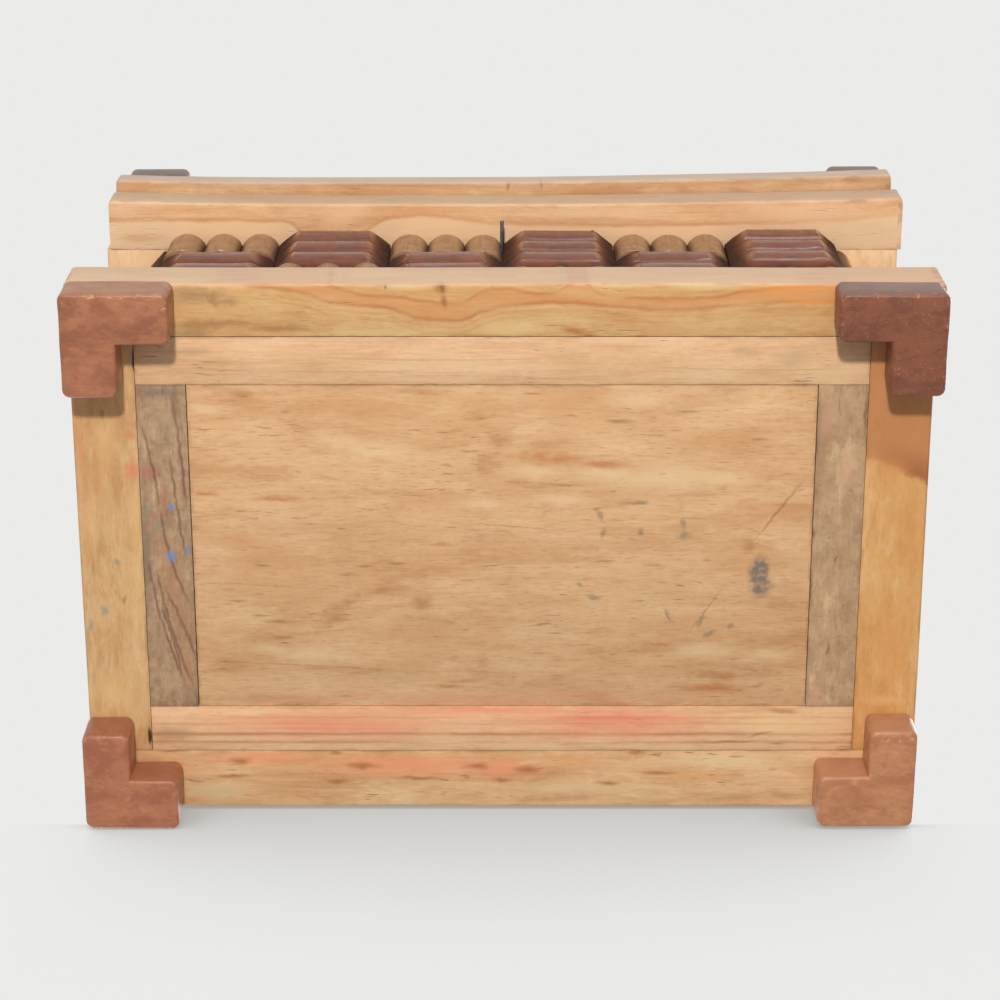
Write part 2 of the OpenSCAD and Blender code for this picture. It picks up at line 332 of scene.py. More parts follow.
# How far the outer corner stands out sideways and to the front or back, and then the length and width of the
# arm along the rail and of the arm along the stile. All in millimetres.
HAND_CUT = {
    "front_left_foot": ((-0.35, 0.25), (22.5, 11.1), (22.35, 11.4)),
    "front_right_foot": ((0.25, 0.25), (22.4, 10.4), (21.95, 11.4)),
    "back_left_foot": ((-0.15, -0.4), (20.3, 11.7), (22.4, 10.2)),
    "back_right_foot": ((-1.25, -0.8), (21.0, 12.2), (22.9, 10.4)),
    "front_left_lid_block": ((-1.9, -0.6), (14.1, 8.0), (13.8, 7.8)),
    "front_right_lid_block": ((-0.2, 0.0), (13.0, 8.0), (14.0, 8.0)),
    "back_left_lid_block": ((-0.6, -0.4), (13.6, 7.7), (13.8, 8.0)),
    "back_right_lid_block": ((-0.3, -0.5), (14.0, 8.0), (13.5, 7.6)),
}


def corner_piece(node, seed):
    """An L in plan. Its outer corner points away from the middle of the box."""
    low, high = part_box(node)
    (out_x, out_y), (rail_length, rail_width), (stile_length, stile_width) = HAND_CUT[node]
    to_side = 1 if low.x + high.x > 0 else -1
    to_back = 1 if low.y + high.y > 0 else -1
    corner = Vector((high.x if to_side > 0 else low.x, high.y if to_back > 0 else low.y, low.z))
    corner += Vector((to_side * out_x, to_back * out_y, 0)) * MM
    far = corner + Vector((-to_side * rail_length * MM, -to_back * rail_width * MM, high.z - low.z))
    piece = start_block(node + "_wood", Vector(map(min, corner, far)), Vector(map(max, corner, far)))
    cut_x = corner.x - to_side * stile_width * MM
    edit(piece)
    bpy.ops.mesh.bisect(plane_co=(cut_x, 0, 0), plane_no=(1, 0, 0), threshold=TINY)

    def corner_side(face):
        middle = face.calc_center_median()
        return abs(middle.y - far.y) < SEAM and (middle.x - cut_x) * to_side > 0

    pick(piece, "FACE", corner_side)
    reach = -to_back * (stile_length - rail_width) * MM
    bpy.ops.mesh.extrude_region_move(TRANSFORM_OT_translate={"value": (0, reach, 0)})
    bpy.ops.mesh.select_all(action="SELECT")
    bpy.ops.mesh.normals_make_consistent(inside=False)
    pick(piece, "EDGE", lambda e: runs_along(e, Z) and is_sharp(e) and e.is_convex)
    bevel(FOOT_CORNER, 4)
    pick(piece, "EDGE", lambda e: is_sharp(e) and e.is_convex)
    bevel(FOOT_ROUND, 3)
    bpy.ops.mesh.select_all(action="SELECT")
    bpy.ops.mesh.subdivide(number_cuts=2)
    done()
    uneven(piece, seed, amount=FOOT_UNEVEN, reach=FOOT_REACH)
    smooth(piece, 40)
    return piece


feet = {node: corner_piece(node, FOOT_SEED + number) for number, node in enumerate(HAND_CUT)}
print("corner pieces:", len(feet))

# %% [markdown]
# ## The basket weave
#
# The walls are faced with blocks set like a woven basket. A light block has three upright half-round beads.
# A dark block has three level reeds and a slope at each end. Each kind starts as a cylinder that is cut in
# half along its length. One block of each size is made in full and then copied to its places.

# %% One light block and one dark block
REEDS = 3
front_low, front_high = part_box("front_wall")
back_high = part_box("back_wall")[1]
BEAD_PROUD = front_low.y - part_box("front_beads")[0].y
BLOCK_PROUD = front_low.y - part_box("front_blocks")[0].y
BLOCK_GAP = 0.1 * MM
GROOVE_HEIGHT = 1.2 * MM
BEAD_SIDES = 40
BEAD_END_ROUND = 1.1 * MM
HIP_RUN = 5.1 * MM
HIP_BASE = 1.2 * MM
REED_ROUND = 0.5 * MM
REED_EDGE_DEGREES = 25


def half_round(length, radius, sunk, axis):
    """A cylinder along an axis, with what lies behind the wall's face (y = 0) cut away."""
    piece = start_rod("half_round", (0, -sunk, 0), axis, radius, length, BEAD_SIDES)
    edit(piece)
    bpy.ops.mesh.select_all(action="SELECT")
    cut(Vector((0, 0, 0)), Vector((0, 1, 0)))
    pick(piece, "EDGE", lambda e: runs_along(e, axis))
    bpy.ops.mesh.subdivide(number_cuts=5)
    done()
    return piece


def joined(pieces, name):
    only(pieces[0])
    for piece in pieces:
        piece.select_set(True)
    bpy.ops.object.join()
    piece = bpy.context.object
    piece.name = piece.data.name = name
    return piece


def copied(piece, matrix, name):
    """A copy with a mesh of its own, moved in its mesh."""
    other = piece.copy()
    other.data = piece.data.copy()
    other.name = other.data.name = name
    other.data.transform(matrix)
    bpy.context.scene.collection.objects.link(other)
    return other


def row_of(bead, pitch, axis, name):
    """Copies of a bead side by side, centred on the first one's place."""
    beads = []
    for k in range(REEDS):
        step = Vector((0, 0, 0))
        step[axis] = (k - (REEDS - 1) / 2) * pitch
        beads.append(copied(bead, Matrix.Translation(step), f"{name}_{k}"))
    bpy.data.objects.remove(bead)
    return joined(beads, name)


def light_block(width, height):
    pitch = (width - BLOCK_GAP) / REEDS
    rise = BEAD_PROUD - GROOVE_HEIGHT
    radius = (rise * rise + pitch * pitch / 4) / (2 * rise)
    bead = half_round(height - BLOCK_GAP, radius, BEAD_PROUD - radius, Z)
    edit(bead)
    for sign in (-1, 1):
        bpy.ops.mesh.select_all(action="SELECT")
        cut(Vector((sign * pitch / 2, 0, 0)), Vector((sign, 0, 0)))

    def on_rounded_end(edge):
        return is_sharp(edge) and is_proud(edge) and not runs_along(edge, Z) and not runs_along(edge, Y)

    pick(bead, "EDGE", on_rounded_end)
    bevel(BEAD_END_ROUND, 4)
    done()
    return row_of(bead, pitch, X, "light_block")


def dark_block(width, height):
    pitch = (height - BLOCK_GAP) / REEDS
    half = (width - BLOCK_GAP) / 2
    reed = half_round(2 * half, pitch / 2, BLOCK_PROUD - pitch / 2, X)
    edit(reed)
    for sign in (-1, 1):
        bpy.ops.mesh.select_all(action="SELECT")
        slope = Vector((sign * (BLOCK_PROUD - HIP_BASE), -HIP_RUN, 0)).normalized()
        cut(Vector((sign * half, -HIP_BASE, 0)), slope)
    pick(reed, "EDGE", lambda e: is_sharp(e, REED_EDGE_DEGREES) and is_proud(e))
    bevel(REED_ROUND, 3)
    done()
    return row_of(reed, pitch, Z, "dark_block")


# %% Laying the blocks on the four walls
SIDES = ("front", "right", "back", "left")
COLUMNS = {"front": 6, "right": 4, "back": 6, "left": 4}
# The blocks of a column from below, each with the height of its middle in cells.
COLUMN_WITH_HALVES = (("half", 0.25), ("dark", 1.0), ("half", 1.75))
COLUMN_OF_TWO = (("full", 0.5), ("dark", 1.5))
# How far a block stands out, as a share: dark ones between two halves lie lower, and one light one is high.
LOW_BLOCK = 0.75
HIGH_BEADS = 1.26
HIGH_BEADS_AT = ("front", 1)
LEAN = 0.004
NARROWEST = 0.99
LOWEST = 0.93
CARVED_UNEVEN = 0.12 * MM
CARVED_REACH = 6 * MM
CARVED_SEED = 51
LAYING_SEED = 12
SHADE = "shade"
CROWN = "crown"
weave_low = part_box("base_front_rail")[1].z
weave_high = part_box("rim_front_rail")[0].z
cell_height = (weave_high - weave_low) / 2
wall_width = front_high.x - front_low.x
wall_depth = back_high.y - front_low.y
walls_middle = Matrix.Translation((0, (back_high.y + front_low.y) / 2, 0))


def onto_wall(side, across, level, proud, rng):
    """From a block's own place to its place on a wall: across runs to the right, seen from outside."""
    quarter = SIDES.index(side)
    out = wall_depth / 2 if quarter % 2 == 0 else wall_width / 2
    turn = Matrix.Rotation(quarter * math.pi / 2, 4, "Z")
    lean = Matrix.Rotation(rng.uniform(-LEAN, LEAN), 4, "Y")
    carved = Matrix.Diagonal((rng.uniform(NARROWEST, 1.0), proud * rng.uniform(LOWEST, 1.0), 1.0, 1.0))
    return walls_middle @ turn @ Matrix.Translation((across, -out, level)) @ lean @ carved


def store(piece, name, values):
    piece.data.attributes.new(name, "FLOAT", "POINT").data.foreach_set("value", values)


def proud_share(side, column, kind):
    """How far a block stands out from the wall, as a share of its full height."""
    if kind == "dark" and column % 2 == 0:
        return LOW_BLOCK
    if kind == "full" and (side, column) == HIGH_BEADS_AT:
        return HIGH_BEADS
    return 1.0


def weave_side(side, rng):
    """Every second column starts with half a light block. Returns the light and the dark piece."""
    columns = COLUMNS[side]
    across = wall_width if side in ("front", "back") else wall_depth
    width = across / columns
    masters = {
        "half": light_block(width, cell_height / 2),
        "full": light_block(width, cell_height),
        "dark": dark_block(width, cell_height),
    }
    for master in masters.values():
        proud = max(-v.co.y for v in master.data.vertices)
        store(master, CROWN, [-v.co.y / proud for v in master.data.vertices])
    laid = {"beads": [], "blocks": []}
    for i in range(columns):
        for kind, cells in COLUMN_OF_TWO if i % 2 else COLUMN_WITH_HALVES:
            level = weave_low + cells * cell_height
            place = onto_wall(side, (i + 0.5) * width - across / 2, level, proud_share(side, i, kind), rng)
            block = copied(masters[kind], place, f"{side}_{kind}_{i}_{len(laid['beads'] + laid['blocks'])}")
            store(block, SHADE, [rng.random()] * len(block.data.vertices))
            laid["blocks" if kind == "dark" else "beads"].append(block)
    for master in masters.values():
        bpy.data.objects.remove(master)
    pieces = {}
    for kind, blocks in laid.items():
        piece = joined(blocks, f"{side}_{kind}_carved")
        uneven(piece, CARVED_SEED + len(pieces), amount=CARVED_UNEVEN, grain=Z, reach=CARVED_REACH)
        smooth(piece, 35)
        pieces[f"{side}_{kind}"] = piece
    return pieces


rng = random.Random(LAYING_SEED)
weave = {}
for side in SIDES:
    weave.update(weave_side(side, rng))
print("weave pieces:", sorted(weave))

# %% [markdown]
# ## The latch pin
#
# A thin steel pin stands out of the front wall under the rim. It is what is left of a catch. It starts as a
# cylinder that is a little thinner than its hole, and a bevel rounds its tip.

# %% Latch pin
THIN_SIDES = 24
PIN_THINNER = 0.96
PIN_TIP = 0.12 * MM
pin_low, pin_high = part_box("latch_pin")
pin_radius = (pin_high.x - pin_low.x) / 2
pin_middle = (pin_low + pin_high) / 2
pin_length = pin_high.y - pin_low.y
pin = start_rod("latch_pin_steel", pin_middle, Y, pin_radius * PIN_THINNER, pin_length, THIN_SIDES)
edit(pin)
pick(pin, "EDGE", lambda e: all(v.co.y < pin_low.y + SEAM for v in e.verts))
bevel(PIN_TIP, 3)
done()
smooth(pin, 40)
print("latch pin:", round(2 * pin_radius * PIN_THINNER / MM, 2), "mm thick")

# %% [markdown]
# ## Hinges
#
# Two small brass butt hinges sit on the back. Each leaf is a thin plate whose edge rolls into knuckles, and
# a pin runs through them. The nails have low domed heads, made from short cylinders with a rounded rim.

# %% Hinge leaves, pins and nails
HINGE_LENGTH = 25 * MM
KNUCKLE_GAP = 0.3 * MM
KNUCKLE_SIDES = 32
KNUCKLE_R = 1.35 * MM
KNUCKLE_EDGE = 0.12 * MM
HINGE_PIN_EDGE = 0.15 * MM
LEAF_T = 0.7 * MM
LEAF_START = 2.0 * MM
LEAF_CORNER = 1.0 * MM
NAIL_X = 8.5 * MM
NAIL_Z = 3.5 * MM
NAIL_R = 0.6 * MM
NAIL_SHANK = 6 * MM
NAIL_HEAD_R = 1.08 * MM
NAIL_HEAD_T = 0.38 * MM
NAIL_DOME = 0.3 * MM
lid_joint = frame["joints"][0]
hinge_y, hinge_z = lid_joint["pos_m"][1], lid_joint["pos_m"][2]
back_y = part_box("rim_back_rail")[1].y
knuckle_length = (HINGE_LENGTH - 2 * KNUCKLE_GAP) / 3


def hinge_rod(name, x, length, radius, edge):
    """A rod on the hinge's axis, for a knuckle or the pin."""
    piece = start_rod(name, (x, hinge_y, hinge_z), X, radius, length, KNUCKLE_SIDES)
    edit(piece)
    pick(piece, "EDGE", is_sharp)
    bevel(edge, 2)
    done()
    return piece


def hinge_leaf(node, steps):
    """A plate with rounded corners, notched where the other leaf's knuckles turn, and its own knuckles."""
    low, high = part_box(node)
    up = 1 if "lid" in node else -1
    middle = (low.x + high.x) / 2
    far = high.z if up > 0 else low.z
    near = hinge_z + up * LEAF_START
    plate_low = Vector((low.x, back_y, min(near, far)))
    plate_high = Vector((high.x, back_y + LEAF_T, max(near, far)))
    plate = start_block(node + "_plate", plate_low, plate_high)
    edit(plate)
    pick(plate, "EDGE", lambda e: runs_along(e, Y) and all(abs(v.co.z - far) < SEAM for v in e.verts))
    bevel(LEAF_CORNER, 4)
    pick(plate, "EDGE", is_sharp)
    bevel(ARRIS, 2)
    done()
    parts = [plate]
    for step in steps:
        x = middle + step * (knuckle_length + KNUCKLE_GAP)
        parts.append(hinge_rod(f"{node}_knuckle_{step}", x, knuckle_length, KNUCKLE_R, KNUCKLE_EDGE))
        half = Vector((knuckle_length / 2, 0, 0))
        web_low = Vector((x, back_y, min(near, hinge_z))) - half
        web_high = Vector((x, back_y + LEAF_T, max(near, hinge_z))) + half
        parts.append(start_block(f"{node}_web_{step}", web_low, web_high))
    piece = joined(parts, node + "_brass")
    smooth(piece, 35)
    return piece


def nail(name, x, y, z):
    """A head on a plate whose face is at y, domed by a bevel, and a shank pulled out of its back."""
    piece = start_rod(name, (x, y + NAIL_HEAD_T / 2, z), Y, NAIL_HEAD_R, NAIL_HEAD_T, THIN_SIDES)
    edit(piece)
    pick(piece, "EDGE", lambda e: all(v.co.y > y + 0.9 * NAIL_HEAD_T for v in e.verts))
    bevel(NAIL_DOME, 4)
    pick(piece, "FACE", lambda f: f.normal.y < -0.9)
    bpy.ops.mesh.inset(thickness=NAIL_HEAD_R - NAIL_R)
    bpy.ops.mesh.extrude_region_move(TRANSFORM_OT_translate={"value": (0, -NAIL_SHANK, 0)})
    done()
    smooth(piece, 40)
    return piece


hinge_parts = {}
for side in ("left", "right"):
    hinge_parts[f"{side}_hinge_box_leaf"] = hinge_leaf(f"{side}_hinge_box_leaf", (-1, 1))
    hinge_parts[f"{side}_hinge_lid_leaf"] = hinge_leaf(f"{side}_hinge_lid_leaf", (0,))
    low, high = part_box(f"{side}_hinge_pin")
    middle_x = (low.x + high.x) / 2
    hinge_parts[f"{side}_hinge_pin"] = hinge_rod(
        f"{side}_hinge_pin_brass", middle_x, high.x - low.x, (high.z - low.z) / 2, HINGE_PIN_EDGE
    )
hinge_middles = [sum(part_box(f"{side}_hinge_pin"), Vector()).x / 2 for side in ("left", "right")]
for part, up in (("box", -1), ("lid", 1)):
    nails = []
    for x in hinge_middles:
        for step in (-1, 1):
            place = (x + step * NAIL_X, back_y + LEAF_T, hinge_z + up * NAIL_Z)
            nails.append(nail(f"{part}_nail_{len(nails)}", *place))
    hinge_parts[f"{part}_hinge_nails"] = joined(nails, f"{part}_hinge_nails_brass")
print("hinge parts:", len(hinge_parts))

# %% Every piece rides on its body and stands for its node
BODY = {node: body for body, nodes in frame["record"]["behaviour"]["bodies"].items() for node in nodes}
pieces = {**boards, **feet, **weave, "latch_pin": pin, **hinge_parts}
for node, piece in pieces.items():
    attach(piece, BODY[node])
    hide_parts(node)
print("pieces:", len(pieces), "of", len(frame["nodes"]), "nodes")


# %% [markdown]
# ## Writing a material as sums
#
# A wood is worked out from the place of each point, in millimetres: how far along the grain it is, which
# growth ring it is in, how near a knot. Such sums are long chains of Math nodes. A small class wraps a socket
# so that they can be written as Python expressions instead, and one method adds any other node.


# %% Sockets as values
class Wire:
    """One socket in a material. Python's operators on it add Math nodes."""

    def __init__(self, finish, socket):
        self.finish = finish
        self.socket = socket

    def maths(self, operation, *others):
        return self.finish.add("ShaderNodeMath", {"operation": operation}, (self, *others))

    def __add__(self, other):
        return self.maths("ADD", other)

    def __sub__(self, other):
        return self.maths("SUBTRACT", other)

    def __rsub__(self, other):
        return self.finish.add("ShaderNodeMath", {"operation": "SUBTRACT"}, (other, self))

    def __mul__(self, other):
        return self.maths("MULTIPLY", other)

    def __truediv__(self, other):
        return self.maths("DIVIDE", other)

    __radd__ = __add__
    __rmul__ = __mul__


def srgb(red, green, blue):
    """A colour as a screen shows it, from 0 to 255, in the values that a shader takes."""

    def linear(value):
        value = value / 255
        return value / 12.92 if value <= 0.04045 else ((value + 0.055) / 1.055) ** 2.4

    return (linear(red), linear(green), linear(blue), 1)


class Finish:
    """A material in the making. Its place is in millimetres, and its colour is what was painted so far."""

    def __init__(self, name, tone=(0, 0, 0)):
        self.material = bpy.data.materials.new(name)
        self.material.use_nodes = True
        self.tree = self.material.node_tree
        self.shader = self.tree.nodes["Principled BSDF"]
        metres = self.add("ShaderNodeTexCoord", out="Object")
        self.place = self.vector("SCALE", metres, scale=1 / MM)
        self.x, self.y, self.z = (self.along(self.place, axis) for axis in (X, Y, Z))
        self.colour = srgb(*tone)

    def add(self, kind, settings=None, values=(), out=0):
        """Adds a node, makes its settings, and sets or links its sockets."""
        node = self.tree.nodes.new(kind)
        for name, value in (settings or {}).items():
            if name == "stops":
                self.bend(node.mapping, value)
            else:
                setattr(node, name, value)
        pairs = values.items() if isinstance(values, dict) else enumerate(values)
        for key, value in pairs:
            self.feed(node.inputs[key], value)
        return Wire(self, node.outputs[out])

    def bend(self, mapping, stops):
        """Puts the points of a Float Curve node, from 0 to 1 both ways."""
        points = mapping.curves[0].points
        points[0].location = stops[0]
        points[1].location = stops[-1]
        for stop in stops[1:-1]:
            points.new(*stop)
        mapping.update()

    def feed(self, socket, value):
        if isinstance(value, Wire):
            self.tree.links.new(value.socket, socket)
        else:
            socket.default_value = value

    def along(self, vector, axis):
        return self.add("ShaderNodeSeparateXYZ", {}, (vector,), out=axis)

    def vector(self, operation, first, second=None, third=None, scale=None, out=0):
        values = {i: v for i, v in enumerate((first, second, third)) if v is not None}
        if scale is not None:
            values["Scale"] = scale
        return self.add("ShaderNodeVectorMath", {"operation": operation}, values, out)

    def noise(self, vector, detail=2.0, roughness=0.5, distortion=0.0, out=0):
        """Smooth noise around 0.5, with waves about one unit of its vector long."""
        values = {"Vector": vector, "Scale": 1.0, "Detail": detail, "Roughness": roughness}
        return self.add("ShaderNodeTexNoise", {}, {**values, "Distortion": distortion}, out)

    def rise(self, value, low, high):
        """0 below low, 1 above high, and a smooth step between them. It falls if low is above high."""
        settings = {"interpolation_type": "SMOOTHSTEP"}
        return self.add("ShaderNodeMapRange", settings, (value, low, high, 0.0, 1.0))

    def hump(self, value, middle, width):
        """A smooth hill of height 1 around a value."""
        away = (value - middle) / width
        return (away * away * -1).maths("EXPONENT")

    def mix(self, amount, first, second):
        return self.add("ShaderNodeMix", {"data_type": "RGBA"}, {0: amount, 6: first, 7: second}, out=2)

    def paint(self, mask, tone):
        """Lays a tone over the colour, as far as a mask lets it through."""
        self.colour = self.mix(mask, self.colour, srgb(*tone))

    def shade(self, tone):
        """Makes the colour darker where the tone is below 1, and lighter where it is above."""
        self.colour = self.vector("SCALE", self.colour, scale=tone)

    def jittered(self, reach, amount):
        """The place, moved about by noise, so that a mark's edge doesn't look drawn."""
        vector = self.vector("SCALE", self.place, scale=1 / reach)
        noise = self.noise(vector, detail=3.0, out="Color")
        offset = self.vector("SUBTRACT", noise, Vector((0.5, 0.5, 0.5)))
        return self.vector("MULTIPLY_ADD", offset, Vector((2, 1, 1)) * amount, self.place)

    def bump(self, height, depth_mm):
        """A normal from a height of 0 to 1 that stands for so many millimetres."""
        values = {"Strength": 1.0, "Distance": depth_mm * MM, "Height": height}
        return self.add("ShaderNodeBump", {}, values)

    def set(self, **values):
        for name, value in values.items():
            self.feed(self.shader.inputs[name.replace("_", " ")], value)


# %% [markdown]
# ## Marks in their places
#
# An old box carries marks: resin streaks, a knot, spots of paint, a grey smudge. The camera's own geometry
# turns a place in the picture into a place on the underside, and a Mapping node makes a soft oval there.
# The oval is flat, so a mark on the underside doesn't show again on the other side of the board. Streaks that
# lie the same way share one Mapping node, as a material has room for only so many. A line of late wood is a
# thin strip round a bent line through three places. Each board's ovals stand in a table, a row for each
# stain, and are laid over its wood by name.

# %% From the picture to the underside
# PX_MM is about what one pixel of the picture covers on the underside. MARK_DEPTH is how far a mark reaches
# into the wood, in millimetres, and MARK_SOFT is where it has faded out, in its own radii.
PICTURE = 1000
FOCAL_PX = LENS_MM / SENSOR_MM * PICTURE
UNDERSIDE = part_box("base_front_rail")[0].z / MM
RIM_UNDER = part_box("rim_front_rail")[0].z / MM
LID_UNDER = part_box("lid_front_rail")[0].z / MM
PX_MM = 0.21
MARK_DEPTH = 3.0
MARK_SOFT = 1.25


def on_level(px, py, level=UNDERSIDE):
    """Where a pixel's ray meets a level plane, in millimetres."""
    ray = CAMERA_RIGHT * (px - PICTURE / 2) - CAMERA_UP * (py - PICTURE / 2) - CAMERA_BACK * FOCAL_PX
    start = CAMERA_PLACE / MM
    return start + ray * ((level - start.z) / ray.z)


def marked(finish, place, ovals_px, edge, level):
    """Oval marks with a soft edge. A mark is (px, py, half width, half height, turn in degrees)."""
    nearest = None
    for px, py, half_width, half_height, turn in ovals_px:
        size = Vector((half_width * PX_MM, half_height * PX_MM, MARK_DEPTH))
        turned = (0, 0, math.radians(turn))
        values = {"Vector": place, "Location": on_level(px, py, level), "Rotation": turned, "Scale": size}
        local = finish.add("ShaderNodeMapping", {"vector_type": "TEXTURE"}, values)
        reach = finish.vector("LENGTH", local, out="Value")
        nearest = reach if nearest is None else nearest.maths("MINIMUM", reach)
    return finish.rise(nearest, MARK_SOFT, edge)


def streaked(finish, place, ovals_px, aspect, turn=0.0, edge=0.1):
    """Ovals that lie one way and are so many times as long as high. A mark is (px, py, half length)."""
    turned = math.radians(turn)
    values = {"Vector": place, "Rotation": (0, 0, turned), "Scale": (1, 1 / aspect, 1)}
    laid = finish.add("ShaderNodeMapping", {"vector_type": "TEXTURE"}, values)
    nearest = None
    for px, py, half_length in ovals_px:
        centre = Matrix.Rotation(-turned, 3, "Z") @ on_level(px, py)
        centre.y *= aspect
        reach = finish.vector("DISTANCE", laid, centre, out="Value") / (half_length * PX_MM)
        nearest = reach if nearest is None else nearest.maths("MINIMUM", reach)
    return finish.rise(nearest, MARK_SOFT, edge)


def grain_lines(finish, place, lines_px, half_width, axis=X):
    """Lines of late wood, each bent through three places in the picture and thin at both ends."""
    along, across = finish.along(place, axis), finish.along(place, 1 - axis)
    strongest = None
    for line_px in lines_px:
        places = [on_level(*pixel) for pixel in line_px]
        (u0, v0), (u1, v1), (u2, v2) = ((p[axis], p[1 - axis]) for p in places)
        slope = (v1 - v0) / (u1 - u0)
        bend = ((v2 - v1) / (u2 - u1) - slope) / (u2 - u0)
        start = along - u0
        line = start * slope + start * (along - u1) * bend + v0
        strip = finish.rise((across - line).maths("ABSOLUTE"), half_width, 0.0)
        length = u2 - u0
        strip = strip * finish.rise(start, 0.0, 0.15 * length) * finish.rise(start, length, 0.8 * length)
        strongest = strip if strongest is None else strongest.maths("MAXIMUM", strip)
    return strongest


# %% [markdown]
# ## Pine
#
# Pine has pale early wood and darker late wood in every ring. On a planed face they show as uneven bands
# along the grain. Short dark dashes are cut resin canals. On top of that come slow clouds of tone, fine
# fibres, and dirt and wear at the edges. All of it stretches along the grain, whichever way that runs in the
# board. A tone on one face only is painted light: a greyish painted sheen on the fronts of the strips, where
# they mirror light from above, and painted shade on the walls' faces behind the weave.


# %% Wood as noise that is stretched along the grain
SEED_STEPS = (11.3, 7.7, 0.0)
SHIFT_STEPS = (5.1, -3.3, 9.1)


class Wood:
    """One board's coordinates, and the noises that follow its grain."""

    def __init__(self, finish, grain, seed):
        self.finish = finish
        self.grain = grain
        self.seed = seed

    def streaks(self, length, width, shift, **settings):
        """Noise around 0.5 whose waves are so many millimetres long and wide."""
        stretch = [1 / width] * 3
        stretch[self.grain] = 1 / length
        offset = [self.seed * a + shift * b for a, b in zip(SEED_STEPS, SHIFT_STEPS)]
        vector = self.finish.vector("MULTIPLY_ADD", self.finish.place, Vector(stretch), Vector(offset))
        return self.finish.noise(vector, **settings)


def near_edge(finish, node, reach):
    """1 on the outer edges of a node's box, 0 from so many millimetres further in."""
    low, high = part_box(node)
    middle = (low + high) / (2 * MM)
    half = (high - low) / (2 * MM)
    places = (finish.x, finish.y, finish.z)
    a, b, c = (half[i] - (places[i] - middle[i]).maths("ABSOLUTE") for i in range(3))
    second = a.maths("MINIMUM", b).maths("MAXIMUM", a.maths("MAXIMUM", b).maths("MINIMUM", c))
    return finish.rise(second, reach, 0.1)


def faces_to(finish, axis, sign):
    """1 on the faces that look one way, 0 on the others, and between the two on a rounded edge."""
    normal = finish.add("ShaderNodeTexCoord", out="Normal")
    return finish.rise(finish.along(normal, axis) * sign, 0.4, 0.9)


# %% One pine for every board, each cut from another place
DASH = (140, 98, 58)
GRIME = (112, 78, 48)
PALE_PATCH = (236, 204, 158)


def pine(node, seed, pale, late, warm, pitch=2.2, strength=0.5, dashes=0.7, clouds=0.8, fibres=0.34,
         flecks=0.25, marks=None, painted_face_light=None, grime=0.3):
    """A board's wood. Marks adds this board's stains; the face tone paints light on one face: sheen on fronts,
    shade behind the weave.
    """
    finish = Finish(node + "_wood", pale)
    wood = Wood(finish, grain_of(node), seed)
    cloud = wood.streaks(30, 11, 4, detail=3.0, roughness=0.55, distortion=0.5)
    patch = wood.streaks(12, 3.5, 5, detail=4.0, roughness=0.62, distortion=0.3)
    band = wood.streaks(60, pitch, 1, detail=3.0, roughness=0.6, distortion=0.25)
    fade = finish.rise(wood.streaks(26, 7, 3, detail=1.0), 0.34, 0.6)
    fibre = wood.streaks(8, 0.6, 6, detail=3.0, roughness=0.7)
    speckle = wood.streaks(1.4, 0.9, 7)
    finish.paint(finish.rise(cloud, 0.4, 0.62) * clouds, warm)
    finish.paint(finish.rise(patch, 0.5, 0.68) * (0.6 * clouds), late)
    finish.paint(finish.rise(band, 0.5, 0.64) * fade * strength, late)
    finish.paint(finish.rise(patch, 0.47, 0.3) * (0.5 * clouds), PALE_PATCH)
    finish.shade(1 + (fibre - 0.5) * fibres + (speckle - 0.5) * 0.16)
    fleck = finish.rise(wood.streaks(3.2, 0.4, 11, detail=2.0), 0.54, 0.7)
    finish.paint(fleck * flecks, late)
    dash = finish.rise(wood.streaks(4.2, 0.6, 8, detail=2.0, distortion=0.3), 0.62, 0.74)
    dash = dash * finish.rise(wood.streaks(20, 8, 9, detail=1.0), 0.46, 0.6)
    finish.paint(dash * dashes, DASH)
    if marks:
        marks(finish, wood)
    # Painted light on one face: a greyish sheen on the fronts of the strips, and painted shade on the walls' faces
    # behind the weave.
    if painted_face_light:
        axis, sign, tint, amount = painted_face_light
        finish.paint(faces_to(finish, axis, sign) * amount, tint)
    edge = near_edge(finish, node, 0.8) * finish.rise(wood.streaks(6, 3, 10), 0.4, 0.66)
    finish.paint(edge * grime, GRIME)
    finish.set(
        Base_Color=finish.colour,
        Roughness=0.55 + (patch - 0.5) * 0.25,
        Normal=finish.bump(fibre * 0.5 - dash * 0.9 + speckle * 0.2, 0.08),
        Specular_IOR_Level=0.35,
    )
    return finish.material


# %% Stains laid by name
# A row of a table of stains holds the reach and the amount of its jitter, how soft its ovals are, its
# strength, its tone and its ovals, written as marked() takes them.
class Stains:
    """One board's stains, which share the places that are jittered alike."""

    def __init__(self, finish, table, level=UNDERSIDE):
        self.finish = finish
        self.table = table
        self.level = level
        self.places = {}

    def place(self, *jitter):
        if jitter not in self.places:
            self.places[jitter] = self.finish.jittered(*jitter)
        return self.places[jitter]

    def lay(self, *names, through=1.0):
        """Lays the named stains, or all of them, as far as a mask lets them through."""
        for name in names or self.table:
            jitter, edge, strength, tone, ovals_px = self.table[name]
            mask = marked(self.finish, self.place(*jitter), ovals_px, edge, self.level)
            self.finish.paint(mask * (through * strength), tone)


